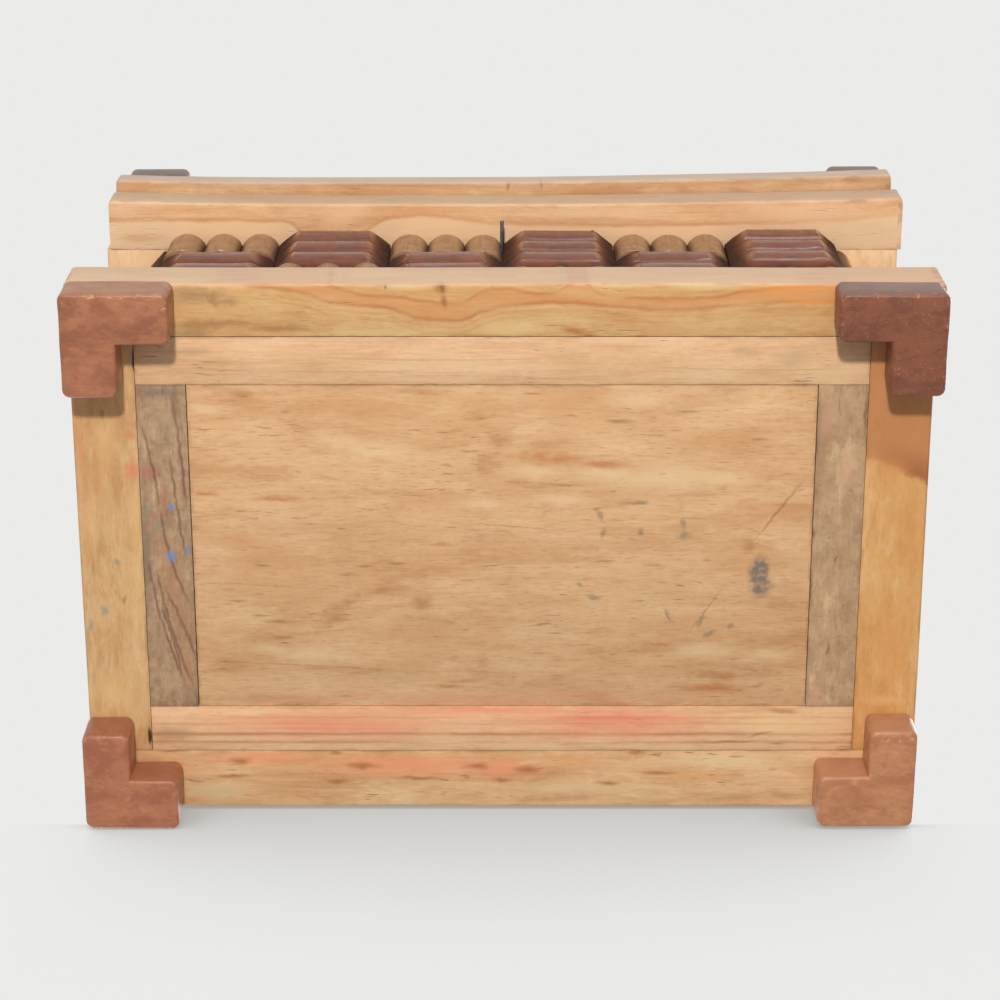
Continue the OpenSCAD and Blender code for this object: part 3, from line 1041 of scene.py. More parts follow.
# %% The front base rail: two bands of late wood that dip under a knot and run on along the rail
UPPER_BAND_PX = [
    (326, 282), (350, 292), (372, 296), (398, 297), (420, 301), (452, 303), (474, 296), (505, 289),
    (538, 294), (562, 290), (580, 283), (594, 291), (625, 297), (685, 299), (742, 292), (835, 283),
]
LOWER_BAND_PX = [
    (215, 283), (270, 288), (304, 294), (334, 303), (384, 308), (404, 314), (450, 321), (466, 319),
    (484, 311), (520, 305), (560, 303), (620, 308), (682, 310), (740, 305), (800, 302), (836, 302),
]
FRONT_RAIL_STAINS_PX = {
    "wide": ((5.0, 2.5), 0.1, 0.75, (234, 198, 138), [(390, 334, 95, 8, 0), (500, 329, 50, 11, 0)]),
    "orange": ((3.0, 0.8), 0.0, 0.7, (235, 156, 80), [(796, 289, 62, 8, 0), (812, 301, 40, 5, 0)]),
    "pale": ((3.0, 0.8), 0.1, 0.75, (230, 194, 142),
             [(625, 286, 30, 3, 0), (705, 287, 44, 4, 0), (405, 288, 26, 4, 0)]),
    "grey": ((3.0, 2.4), 0.0, 0.62, (156, 122, 86),
             [(196, 296, 34, 12, 0), (226, 302, 20, 5, 0), (190, 332, 26, 10, 0)]),
    "brown": ((3.0, 2.4), 0.1, 0.6, (166, 116, 72),
              [(214, 324, 46, 6, 0), (278, 329, 42, 4, 2), (212, 300, 12, 4, 60)]),
    "spots": ((3.0, 0.8), 0.1, 0.8, (184, 112, 58),
              [(574, 331, 18, 5, 10), (590, 336, 12, 4, 5), (660, 340, 12, 1.5, 0)]),
    "slot": ((2.0, 0.2), 0.4, 0.8, (104, 70, 40), [(205, 340, 36, 1.3, 0)]),
    "knot": ((1.5, 0.6), 0.0, 0.85, (164, 106, 56), [(441, 288, 8, 8, 0), (444, 301, 4, 9, -8)]),
    "heart": ((1.5, 0.6), 0.0, 0.7, (120, 74, 38), [(442, 288, 3, 7, -10), (385, 287, 2, 3, 0)]),
}


def under_band(finish, place, band_px, level=UNDERSIDE):
    """How far a point lies under a band that bends through places in the picture, in millimetres."""
    places = [on_level(*pixel, level) for pixel in band_px]
    left, right = places[0].x, places[-1].x
    low = min(p.y for p in places)
    high = max(p.y for p in places)
    x, y = finish.along(place, X), finish.along(place, Y)
    stops = [((p.x - left) / (right - left), (p.y - low) / (high - low)) for p in places]
    bent = finish.add("ShaderNodeFloatCurve", {"stops": stops}, {"Value": (x - left) / (right - left)})
    return y - (bent * (high - low) + low)


def front_rail_marks(finish, wood):
    stains = Stains(finish, FRONT_RAIL_STAINS_PX)
    place = stains.place(3.0, 0.8)
    upper = under_band(finish, place, UPPER_BAND_PX)
    lower = under_band(finish, place, LOWER_BAND_PX)
    lively = finish.rise(wood.streaks(16, 2.5, 12, detail=3.0), 0.3, 0.62) * 0.6 + 0.4
    stains.lay("wide")
    between = finish.rise(upper, -0.3, 0.9) * finish.rise(lower, 0.4, -1.2)
    finish.paint(between * lively * 0.8, (218, 150, 94))
    echo = finish.hump(lower, 1.4, 0.35) + finish.hump(lower, 2.7, 0.3) + finish.hump(upper, -1.3, 0.3)
    finish.paint(echo * lively * 0.3, (200, 138, 80))
    bands = finish.hump(upper, 0.0, 0.5) + finish.hump(lower, -0.15, 0.5)
    finish.paint(bands.maths("MINIMUM", 1.0) * lively * 0.85, (196, 124, 70))
    stains.lay("orange", "pale", "grey", "brown", "spots", "slot", "knot", "heart")


# %% The bottom panel: faded grain, old stains and a few grey marks
PANEL_PALE_PX = [
    (206, 410, 28), (770, 656, 32), (700, 652, 40), (372, 450, 54), (345, 444, 38), (536, 473, 36),
    (660, 478, 70), (610, 474, 50), (480, 505, 30), (310, 655, 46), (640, 402, 44), (725, 480, 36),
    (276, 650, 30), (560, 500, 40),
]
PANEL_WARM_PX = [
    (372, 412, 76), (432, 500, 50), (735, 445, 56), (796, 512, 34), (430, 640, 50), (272, 562, 50),
    (736, 566, 50), (640, 470, 30), (560, 398, 60), (230, 540, 40),
]
PANEL_ORANGE_PX = [
    (276, 499, 28), (550, 458, 50), (600, 465, 38), (448, 687, 22), (718, 690, 46), (661, 645, 15),
    (440, 545, 15), (205, 494, 18),
]
PANEL_DASHES_PX = [
    (283, 622, 20), (262, 616, 12), (238, 602, 12), (282, 638, 16), (396, 564, 13), (366, 567, 11),
    (352, 575, 16), (262, 566, 10), (374, 449, 11), (470, 452, 12), (532, 394, 10), (620, 422, 16),
    (655, 436, 12), (570, 416, 9), (690, 412, 14), (605, 562, 11), (654, 566, 13), (760, 440, 11),
    (636, 504, 13), (342, 498, 15),
]
PANEL_LINES_PX = [
    [(205, 662), (310, 666), (425, 674)],
    [(200, 583), (248, 585), (298, 588)],
    [(498, 483), (550, 484), (596, 488)],
    [(452, 524), (500, 526), (560, 532)],
]
PANEL_STAINS_PX = {
    "brown": ((2.0, 1.4), 0.1, 0.72, (180, 122, 76),
              [(240, 394, 14, 6, 10), (486, 464, 17, 15, 20), (422, 604, 13, 14, 20), (748, 546, 8, 12, 10),
               (420, 392, 34, 4, 4), (498, 440, 15, 12, 0), (716, 676, 40, 8, 2), (334, 616, 12, 18, 35),
               (352, 600, 16, 8, -25), (386, 592, 20, 6, -5)]),
    "eye": ((4.0, 2.4), 0.0, 0.5, (226, 190, 140), [(376, 622, 30, 14, -12)]),
    "pink": ((4.0, 2.4), 0.1, 0.5, (226, 160, 124),
             [(245, 691, 7, 4, 0), (500, 698, 300, 9, 0), (812, 697, 8, 12, 0)]),
    "cracks": ((1.4, 0.5), 0.0, 0.65, (146, 100, 64), [(779, 511, 44, 2.0, -54), (705, 612, 40, 0.8, -56)]),
    "grey": ((2.0, 1.4), 0.1, 0.6, (124, 114, 94),
             [(600, 517, 3, 8, -20), (603, 534, 4, 7, 10), (684, 524, 3, 9, 0), (684, 536, 9, 6, 0),
              (642, 533, 5, 5, 0), (580, 586, 6, 3, 10), (594, 598, 8, 4, 5), (731, 627, 3.5, 4.5, 0),
              (700, 622, 3, 9, 20), (710, 634, 8, 4, -30), (669, 616, 2, 12, -28), (643, 503, 7, 3, 0)]),
    "smudge": ((2.0, 1.4), 0.5, 0.85, (108, 104, 98), [(759, 569, 12, 15, 10), (761, 585, 13, 15, 0)]),
}


def panel_marks(finish, wood):
    stains = Stains(finish, PANEL_STAINS_PX)
    place = stains.place(4.0, 2.4)
    torn = stains.place(2.0, 1.4)
    fine = stains.place(1.4, 0.5)
    mottled = finish.rise(wood.streaks(5, 2.2, 13, detail=3.0), 0.34, 0.62) * 0.6 + 0.4
    warm = streaked(finish, place, PANEL_WARM_PX, 3.2, edge=0.0)
    finish.paint(warm * 0.5, (206, 152, 104))
    pale = streaked(finish, place, PANEL_PALE_PX, 4.0, 3)
    finish.paint(pale * 0.62, (232, 198, 152))
    stains.lay("brown", through=mottled)
    orange = streaked(finish, torn, PANEL_ORANGE_PX, 6.0, 3) * mottled
    finish.paint(orange * 0.8, (192, 122, 70))
    stains.lay("eye", "pink", "cracks")
    lines = grain_lines(finish, fine, PANEL_LINES_PX, 0.26) * mottled
    finish.paint(lines * 0.45, (148, 106, 66))
    dashes = streaked(finish, fine, PANEL_DASHES_PX, 6.5, 1, edge=0.2) * mottled
    finish.paint(dashes * 0.62, (146, 110, 66))
    stains.lay("grey")
    thin = finish.rise(wood.streaks(1.5, 1.5, 14, detail=3.0), 0.36, 0.6) * 0.6 + 0.4
    stains.lay("smudge", through=thin)


# %% Stains on the stiles, and the shade of two gaps painted in
LEFT_STILE_STAINS_PX = {
    "pale": ((2.0, 1.1), 0.1, 0.55, (230, 190, 126),
             [(137, 540, 9, 76, 2), (104, 440, 12, 30, 0), (112, 690, 22, 20, 0)]),
    "warm": ((2.0, 1.1), 0.0, 0.5, (220, 148, 96), [(78, 430, 7, 60, 0), (86, 520, 5, 60, 0)]),
    "red": ((2.0, 1.1), 0.0, 0.75, (226, 128, 94), [(133, 470, 9, 14, 0), (131, 435, 5, 5, 0)]),
    "grey": ((2.0, 1.1), 0.1, 0.7, (142, 146, 134),
             [(117, 562, 5, 4, 0), (104, 611, 6, 8, 0), (91, 626, 4, 9, 0)]),
    "green": ((2.0, 1.1), 0.1, 0.6, (136, 112, 60), [(124, 600, 3, 6, 10), (101, 414, 2, 7, 0)]),
    # The gap row is painted shade: two dark lines that stand for the shade inside narrow gaps between stile and
    # wall.
    "gap": ((2.0, 0.2), 0.5, 0.95, (38, 28, 20), [(134, 360, 2.6, 14, 0), (150, 736, 2.4, 10, 0)]),
}
RIGHT_STILE_STAINS_PX = {
    "orange": ((5.0, 2.4), 0.0, 0.45, (214, 146, 80),
               [(890, 640, 20, 60, 0), (905, 530, 12, 40, 0), (895, 470, 20, 16, 0)]),
    "pale": ((5.0, 2.4), 0.0, 0.5, (234, 186, 130),
             [(862, 560, 5, 120, 4), (884, 700, 26, 7, 0), (868, 480, 6, 24, 0)]),
}
SPILL_CORNER_PX = (868, 457)
SPILL_SLOPE = 0.45


def left_stile_marks(finish, wood):
    tall = finish.rise(wood.streaks(9, 2.5, 13, detail=3.0, distortion=0.5), 0.52, 0.68)
    finish.paint(tall * 0.35, (188, 140, 88))
    Stains(finish, LEFT_STILE_STAINS_PX).lay()


def right_stile_marks(finish, wood):
    """A spill that ends at a slanting edge and reaches a little way up the strip's side."""
    low_down = finish.rise(finish.z + wood.streaks(9, 4, 13) * 3.0, UNDERSIDE + 5.0, UNDERSIDE + 1.6)
    corner = on_level(*SPILL_CORNER_PX)
    past = finish.y - corner.y - (finish.x - corner.x) * SPILL_SLOPE
    ragged = past + (wood.streaks(3, 3, 11, detail=3.0) - 0.5) * 3.0
    spilt = finish.rise(ragged, 0.9, -1.1) * low_down
    finish.paint(spilt * 0.8, (190, 124, 78))
    tide = spilt * finish.rise(past, -8.0, -1.0) * finish.rise(finish.x, corner.x, corner.x + 11.0)
    finish.paint(tide * 0.75, (162, 92, 56))
    Stains(finish, RIGHT_STILE_STAINS_PX).lay()


# %% Stains on the two side walls
LEFT_WALL_LINES_PX = [
    [(140, 420), (152, 466), (160, 512)],
    [(160, 505), (171, 560), (192, 608)],
    [(171, 392), (180, 450), (187, 518)],
    [(168, 450), (178, 512), (186, 560)],
    [(156, 566), (171, 626), (195, 690)],
    [(148, 556), (168, 640), (190, 694)],
    [(164, 586), (182, 622), (199, 664)],
    [(160, 600), (176, 650), (186, 690)],
]
LEFT_WALL_STAINS_PX = {
    "warm": ((3.0, 1.0), 0.0, 0.5, (184, 132, 98), [(172, 580, 14, 90, -12), (188, 670, 10, 40, -10)]),
    "grey": ((3.0, 1.0), 0.0, 0.6, (116, 100, 84),
             [(160, 392, 28, 8, 0), (146, 560, 8, 60, 0), (198, 700, 4, 20, 0)]),
    "red": ((3.0, 1.0), 0.0, 0.5, (172, 92, 78),
            [(150, 472, 12, 14, 0), (184, 488, 4, 26, 0), (165, 500, 5, 24, 0)]),
    "blue": ((3.0, 1.0), 0.2, 0.75, (96, 146, 194),
             [(171, 507, 5, 4, 0), (171, 556, 6, 7, 0), (188, 550, 3, 6, 0)]),
    "green": ((3.0, 1.0), 0.1, 0.6, (142, 150, 132), [(159, 527, 5, 6, 0), (147, 508, 6, 3, 0)]),
}
RIGHT_WALL_STAINS_PX = {
    "pink": ((3.0, 1.4), 0.0, 0.5, (214, 160, 134),
             [(815, 694, 9, 18, 0), (846, 470, 10, 26, 0), (826, 420, 8, 26, 0)]),
    "dark": ((2.0, 0.9), 0.1, 0.7, (122, 92, 60),
             [(817, 405, 2, 14, 0), (815, 452, 2, 16, 0), (813, 534, 3, 6, 0), (811, 588, 2, 22, 0),
              (866, 416, 2, 26, 0), (836, 560, 2, 6, 0), (828, 650, 2, 8, 0)]),
}


def left_wall_marks(finish, wood):
    stains = Stains(finish, LEFT_WALL_STAINS_PX)
    fuzz = wood.streaks(1.8, 1.4, 12, detail=3.0, roughness=0.65)
    finish.paint(finish.rise(fuzz, 0.5, 0.7) * 0.4, (132, 102, 76))
    finish.paint(finish.rise(fuzz, 0.48, 0.32) * 0.35, (206, 172, 134))
    stains.lay("warm", "grey", "red")
    lines = grain_lines(finish, finish.jittered(2.0, 0.6), LEFT_WALL_LINES_PX, 0.55, axis=Y)
    worn = finish.rise(wood.streaks(8, 2, 13, detail=3.0), 0.28, 0.58) * 0.6 + 0.4
    finish.paint(lines * worn * 0.75, (122, 76, 60))
    stains.lay("blue", "green")


def right_wall_marks(finish, wood):
    blotch = wood.streaks(4, 3, 12, detail=4.0, roughness=0.65)
    speck = wood.streaks(1.2, 1.0, 13, detail=2.0)
    finish.paint(finish.rise(blotch, 0.48, 0.64) * 0.45, (158, 122, 92))
    finish.paint(finish.rise(blotch, 0.47, 0.34) * 0.4, (206, 176, 136))
    finish.paint(finish.rise(speck, 0.58, 0.72) * 0.35, (136, 104, 76))
    Stains(finish, RIGHT_WALL_STAINS_PX).lay()


# %% Stains on the front and the back wall
FRONT_WALL_LINES_PX = [
    [(180, 368), (300, 372), (440, 370)],
    [(300, 357), (420, 360), (560, 358)],
    [(640, 366), (760, 370), (860, 368)],
]
FRONT_WALL_STAINS_PX = {
    "grey": ((4.0, 2.0), 0.0, 0.45, (184, 156, 118),
             [(796, 356, 26, 12, -20), (745, 352, 16, 6, 0), (190, 352, 22, 7, 0)]),
    "pale": ((4.0, 2.0), 0.0, 0.5, (240, 204, 156),
             [(830, 374, 50, 10, 0), (700, 378, 90, 6, 0), (480, 366, 140, 8, 0)]),
}
# A dark row of the back wall: its height in the picture, its half width in millimetres, and its strength.
BACK_WALL_ROWS_PX = [(717.5, 0.3, 0.3), (724.0, 0.25, 0.3), (734.0, 0.42, 0.65), (742.0, 0.3, 0.45)]
BACK_WALL_STAINS_PX = {
    "pink": ((6.0, 3.0), 0.0, 0.8, (236, 142, 110),
             [(610, 724, 150, 24, 0), (320, 724, 160, 22, 0), (470, 712, 300, 10, 0)]),
    "strong": ((6.0, 3.0), 0.2, 0.6, (236, 134, 108), [(622, 724, 80, 17, 0)]),
    "grey": ((6.0, 3.0), 0.0, 0.6, (176, 138, 96), [(174, 734, 24, 12, 0)]),
    "pale": ((6.0, 3.0), 0.0, 0.6, (238, 198, 142), [(790, 724, 60, 16, 0), (250, 712, 60, 4, 0)]),
    "brown": ((2.5, 1.2), 0.1, 0.7, (172, 120, 68),
              [(783, 711, 18, 3.5, 5), (728, 742, 30, 2, -2), (760, 734, 16, 2, -12), (776, 744, 10, 2, 0)]),
}


def front_wall_marks(finish, wood):
    Stains(finish, FRONT_WALL_STAINS_PX).lay()
    thin = grain_lines(finish, finish.jittered(4.0, 0.4), FRONT_WALL_LINES_PX, 0.25)
    finish.paint(thin * 0.4, (196, 146, 98))


def back_wall_marks(finish, wood):
    stains = Stains(finish, BACK_WALL_STAINS_PX)
    stripe = finish.rise(wood.streaks(60, 1.3, 11, detail=2.0), 0.4, 0.6) * 0.5 + 0.5
    stains.lay("pink", "strong", through=stripe)
    height = finish.along(finish.jittered(8.0, 0.5), Y)
    broken = finish.rise(wood.streaks(30, 3, 12, detail=2.0), 0.3, 0.56)
    for row_px, width, strength in BACK_WALL_ROWS_PX:
        line = finish.hump(height, on_level(PICTURE / 2, row_px).y, width)
        finish.paint(line * broken * strength, (176, 112, 72))
    stains.lay("grey", "pale", "brown")


# %% Stains on the back rail, and on the undersides of the rim and the lid
BACK_RAIL_STAINS_PX = {
    "pink": ((4.0, 2.4), 0.0, 0.8, (232, 146, 108),
             [(410, 765, 125, 15, 0), (260, 758, 70, 9, 0), (500, 768, 60, 13, 0)]),
    "pale": ((4.0, 2.4), 0.0, 0.6, (222, 194, 148),
             [(216, 789, 40, 13, 0), (580, 788, 90, 10, 0), (720, 762, 110, 10, 0)]),
    "grey": ((4.0, 2.4), 0.0, 0.4, (196, 172, 134), [(216, 792, 34, 9, 0)]),
    "orange": ((2.5, 1.2), 0.1, 0.6, (220, 158, 96), [(572, 759, 36, 5, 0), (700, 778, 40, 5, 0)]),
    "brown": ((2.5, 1.2), 0.0, 0.85, (166, 104, 54),
              [(240, 761, 15, 5, 0), (233, 776, 24, 3, 0), (362, 766, 22, 5, 2), (337, 781, 16, 4, 0),
               (477, 766, 16, 5, 0), (527, 770, 16, 5.5, 5), (657, 773, 22, 3, 2), (637, 753, 11, 4, 0),
               (503, 780, 12, 4, 0), (336, 753, 8, 3, 0), (608, 783, 13, 3, 0), (420, 778, 30, 3, 2)]),
}
RIM_SHORE_PX = [
    (112, 222), (240, 222), (284, 223), (320, 238), (352, 236), (372, 228), (398, 219), (424, 217),
    (460, 221), (505, 225), (620, 227), (735, 225), (800, 223), (895, 216),
]
RIM_STAINS_PX = {
    "pale": ((5.0, 1.0), 0.2, 0.7, (246, 202, 158),
             [(345, 214, 34, 16, -30), (612, 212, 60, 9, 0), (806, 214, 110, 15, 0)]),
    "orange": ((5.0, 1.0), 0.0, 0.5, (222, 154, 100),
               [(180, 210, 70, 5, 0), (420, 210, 60, 7, 0), (140, 238, 30, 6, 0)]),
}
LID_RAIL_STAINS_PX = {
    "orange": ((3.0, 1.2), 0.0, 0.4, (198, 142, 94),
               [(160, 185, 60, 5, 0), (700, 184, 120, 4, -2), (860, 180, 40, 4, 0), (440, 186, 60, 4, 0)]),
    "dark": ((1.5, 0.4), 0.2, 0.6, (150, 102, 66), [(508, 186, 2.5, 6, 10), (541, 184, 2, 7, -10)]),
}


def back_rail_marks(finish, wood):
    Stains(finish, BACK_RAIL_STAINS_PX).lay()


def rim_marks(finish, wood):
    """Deeper orange near the outer edge, and a paler part inside, with a wavy shore between them."""
    stains = Stains(finish, RIM_STAINS_PX, RIM_UNDER)
    shore = under_band(finish, stains.place(5.0, 1.0), RIM_SHORE_PX, RIM_UNDER)
    inner = finish.rise(shore, -0.4, 0.5)
    finish.paint(inner * 0.75, (246, 210, 168))
    line = finish.hump(shore, -0.5, 0.4) * finish.rise(wood.streaks(30, 4, 13), 0.3, 0.55)
    finish.paint(line * 0.5, (208, 146, 92))
    stains.lay()


def lid_rail_marks(finish, wood):
    Stains(finish, LID_RAIL_STAINS_PX, LID_UNDER).lay()


# %% [markdown]
# ## Dressing the boards
#
# Every board is pine, but no two boards look alike: the front base rail is yellow and lively, the two side
# walls show grey sawn wood, the rim is orange. So each board calls the same function with its own tones.

# %% Pine for each board
GOLD = {"pale": (224, 180, 124), "late": (190, 132, 76), "warm": (214, 160, 102)}
STRAW = {"pale": (234, 190, 146), "late": (198, 148, 102), "warm": (224, 176, 130)}
HONEY = {"pale": (222, 178, 132), "late": (184, 128, 80), "warm": (208, 158, 110)}
AMBER = {"pale": (220, 166, 104), "late": (196, 134, 74), "warm": (212, 150, 86)}
OCHRE = {"pale": (218, 175, 124), "late": (184, 128, 78), "warm": (212, 158, 106)}
BISCUIT = {"pale": (209, 169, 129), "late": (182, 133, 90), "warm": (199, 153, 110)}
PEACH = {"pale": (240, 196, 152), "late": (212, 154, 104), "warm": (232, 180, 132)}
DRIFT = {"pale": (182, 150, 118), "late": (140, 106, 80), "warm": (168, 132, 100)}
SAND = {"pale": (194, 158, 120), "late": (162, 126, 94), "warm": (184, 146, 108)}
CREAM = {"pale": (244, 204, 158), "late": (222, 170, 122), "warm": (238, 192, 146)}
CALM_CREAM = dict(**CREAM, pitch=4.0, strength=0.15, dashes=0.1, fibres=0.15, grime=0.1)
# Painted shade: the dark tone of the walls' outer faces, which lie in shade behind the weave.
SHADE_BEHIND_WEAVE = (92, 62, 44)

# The order gives each board its seed, which picks the piece of wood that it is cut from.
# The face tones of the front rails are a painted sheen: the light from above that their fronts mirror.
board_wood = {
    "base_front_rail": dict(**GOLD, pitch=2.0, strength=0.25, clouds=0.6, dashes=0.3, marks=front_rail_marks,
                            painted_face_light=(Y, -1, (228, 198, 172), 0.6)),
    "base_back_rail": dict(**HONEY, pitch=2.4, strength=0.35, marks=back_rail_marks),
    "base_left_stile": dict(**OCHRE, pitch=4.0, strength=0.2, dashes=0.25, fibres=0.2,
                            marks=left_stile_marks),
    "base_right_stile": dict(**AMBER, pitch=5.0, strength=0.12, clouds=0.6, dashes=0.05, fibres=0.12,
                             marks=right_stile_marks),
    "front_wall": dict(**STRAW, pitch=1.2, strength=0.4, clouds=0.5, dashes=0.5, marks=front_wall_marks,
                       painted_face_light=(Y, -1, SHADE_BEHIND_WEAVE, 0.9)),
    "back_wall": dict(**STRAW, pitch=1.4, strength=0.4, clouds=0.5, dashes=0.3, grime=0.2,
                      marks=back_wall_marks, painted_face_light=(Y, 1, SHADE_BEHIND_WEAVE, 0.9)),
    "left_wall": dict(**DRIFT, pitch=2.4, strength=0.3, dashes=0.3, marks=left_wall_marks,
                      painted_face_light=(X, -1, SHADE_BEHIND_WEAVE, 0.9)),
    "right_wall": dict(**SAND, pitch=5.0, strength=0.2, dashes=0.3, fibres=0.2, marks=right_wall_marks,
                       painted_face_light=(X, 1, SHADE_BEHIND_WEAVE, 0.9)),
    "bottom_panel": dict(**HONEY, pitch=4.0, strength=0.2, clouds=0.6, dashes=0.45, fibres=0.24, flecks=0.4,
                         marks=panel_marks),
    "rim_front_rail": dict(**PEACH, pitch=2.6, strength=0.4, dashes=0.15, marks=rim_marks,
                           painted_face_light=(Y, -1, (192, 170, 148), 0.65)),
    "rim_back_rail": dict(**HONEY, pitch=2.8),
    "rim_left_stile": CALM_CREAM,
    "rim_right_stile": CALM_CREAM,
    "lid_front_rail": dict(**BISCUIT, pitch=2.4, dashes=0.3, marks=lid_rail_marks,
                           painted_face_light=(Y, -1, (214, 198, 184), 0.6)),
    "lid_back_rail": dict(**HONEY, pitch=3.0),
    "lid_left_stile": dict(**HONEY, pitch=2.6),
    "lid_right_stile": dict(**PEACH, pitch=3.2),
    "lid_panel": dict(**HONEY, pitch=3.2),
}


def dress(piece, material):
    piece.data.materials.clear()
    piece.data.materials.append(material)


for seed, (node, wood) in enumerate(board_wood.items(), 1):
    dress(boards[node], pine(node, seed, **wood))
print("boards dressed:", len(board_wood))

# %% [markdown]
# ## Dark feet and corner blocks
#
# The feet are a reddish brown tropical wood, waxed and rubbed. It is mottled rather than striped, its edges
# are chipped pale, and short light scratches cross its faces. Each foot and corner block has a tone of its
# own, and another one painted on its front face for the light there: mostly a greyer painted sheen, and
# painted shade on the back left foot.


# %% Reddish wood for the corner pieces
SCRATCH_TURNS = (0.7, 1.5, 2.6)
SCRATCH_TONE = (208, 156, 128)
CHIP_TONE = (218, 162, 130)
LIGHTER = 1.16


def scratches_on(finish, seed):
    """Short thin scratches that lie in three directions."""
    found = None
    for number, turn in enumerate(SCRATCH_TURNS):
        values = {"Vector": finish.place, "Rotation": (0.3, 0.2, turn + seed)}
        turned = finish.add("ShaderNodeMapping", {}, values)
        thin = finish.vector("MULTIPLY_ADD", turned, Vector((0.35, 2.8, 2.8)), Vector((number * 9.0, 0, 0)))
        scratch = finish.rise(finish.noise(thin, detail=1.0), 0.7, 0.78)
        found = scratch if found is None else found.maths("MAXIMUM", scratch)
    return found


def red_wood(node, seed, tone, dark, front, front_light_amount, scratches):
    finish = Finish(node + "_red", tone)
    wood = Wood(finish, X, seed)
    cloud = wood.streaks(8, 5, 2, detail=3.0, roughness=0.6, distortion=0.5)
    mottle = wood.streaks(2.4, 1.7, 3, detail=4.0, roughness=0.65)
    fibre = wood.streaks(3, 0.45, 4, detail=3.0, roughness=0.7)
    finish.paint(finish.rise(cloud, 0.42, 0.64) * 0.7, dark)
    finish.paint(finish.rise(mottle, 0.5, 0.68) * 0.45, dark)
    finish.paint(finish.rise(mottle, 0.47, 0.32) * 0.4, [min(255, value * LIGHTER) for value in tone])
    finish.shade(1 + (fibre - 0.5) * 0.2)
    scratch = scratches_on(finish, seed)
    finish.paint(scratch * scratches, SCRATCH_TONE)
    # Painted light: a tone on the front face that stands for a sheen there, and on the back left foot for shade.
    finish.paint(faces_to(finish, Y, -1) * front_light_amount, front)
    chips = near_edge(finish, node, 1.3) * finish.rise(wood.streaks(1.6, 1.6, 5, detail=3.0), 0.56, 0.7)
    finish.paint(chips * 0.5, CHIP_TONE)
    finish.set(
        Base_Color=finish.colour,
        Roughness=0.4 + (cloud - 0.5) * 0.2,
        Normal=finish.bump(fibre * 0.4 + mottle * 0.5 - scratch * 0.4 - chips, 0.09),
        Specular_IOR_Level=0.5,
    )
    return finish.material


# A tone, a darker tone, the tone painted on the front for the light there and its amount, and how much the
# scratches show.
corner_tones = {
    "front_left_foot": ((173, 111, 79), (140, 82, 57), (178, 131, 95), 0.5, 0.25),
    "front_right_foot": ((135, 78, 52), (106, 58, 40), (126, 101, 89), 0.6, 0.3),
    "back_left_foot": ((178, 113, 80), (152, 90, 62), (146, 90, 62), 0.6, 0.15),
    "back_right_foot": ((191, 130, 90), (167, 105, 69), (184, 133, 104), 0.5, 0.15),
    "front_left_lid_block": ((122, 86, 64), (90, 60, 44), (112, 104, 88), 0.65, 0.3),
    "front_right_lid_block": ((132, 84, 62), (98, 58, 42), (116, 102, 90), 0.6, 0.3),
}
OTHER_CORNERS = ((138, 84, 62), (104, 60, 44), (120, 96, 80), 0.3, 0.3)
for number, (node, piece) in enumerate(sorted(feet.items())):
    dress(piece, red_wood(node, number, *corner_tones.get(node, OTHER_CORNERS)))
print("corner pieces dressed:", len(feet))

# %% [markdown]
# ## Varnished carving
#
# The weave is varnished, so it shines while the plain boards don't. The dark reeds shine most, on their tops.
# The grooves between beads or reeds are rough, and shade is painted into them as a dark tone. Two attributes
# that were stored on the blocks help: one tone for each block, and how far a point stands off the wall, which
# says where that painted shade goes.


# %% Light and dark varnished wood
GRAIN_ACROSS = Vector((0.16, 0.16, 2.0))
GRAIN_UP = Vector((2.0, 2.0, 0.12))


def varnished(name, grain, tones, coat, coat_from):
    """Varnish whose coat rises to its full weight between two heights, as shares of the block's own."""
    pale, deep, groove_shade = tones
    finish = Finish(name, pale)
    shade = finish.add("ShaderNodeAttribute", {"attribute_name": SHADE}, out="Fac")
    crown = finish.add("ShaderNodeAttribute", {"attribute_name": CROWN}, out="Fac")
    vector = finish.vector("MULTIPLY", finish.place, grain)
    streak = finish.noise(vector, detail=3.0, roughness=0.6)
    fine = finish.noise(finish.vector("SCALE", vector, scale=3.0), detail=2.0)
    patchy = finish.noise(finish.vector("SCALE", finish.place, scale=0.35), detail=3.0)
    finish.paint(finish.rise(streak, 0.4, 0.68) * 0.7, deep)
    finish.paint(finish.rise(patchy, 0.5, 0.68) * 0.45, deep)
    finish.paint((shade - 0.2) * 0.4, deep)
    finish.shade(1 + (fine - 0.5) * 0.3)
    # Painted shade: the grooves and low parts of each bead and reed are darkened by how far they stand off the
    # wall.
    finish.paint(finish.rise(crown + (streak - 0.5) * 0.3, 0.85, 0.35) * 0.85, groove_shade)
    finish.set(
        Base_Color=finish.colour,
        Roughness=0.38 + (patchy - 0.5) * 0.4 + finish.rise(crown, 0.9, 0.5) * 0.35,
        Normal=finish.bump(streak * 0.6 + patchy * 0.8, 0.14),
        Coat_Weight=finish.rise(crown, *coat_from) * (finish.rise(patchy, 0.3, 0.6) * 0.5 + 0.5) * coat,
        Coat_Roughness=0.15,
        Specular_IOR_Level=0.2,
    )
    return finish.material


# The pale tone of each wood, the deeper one of its streaks, and the painted shade in its grooves.
BEAD_TONES = ((173, 131, 94), (142, 100, 71), (86, 58, 40))
REED_TONES = ((138, 78, 53), (90, 50, 36), (46, 26, 19))
bead_wood = varnished("bead_varnish", GRAIN_UP, BEAD_TONES, 0.3, (0.0, 0.3))
dark_wood = varnished("block_varnish", GRAIN_ACROSS, REED_TONES, 1.0, (0.62, 0.94))
for node, piece in weave.items():
    dress(piece, bead_wood if node.endswith("beads") else dark_wood)
print("weave dressed:", len(weave))


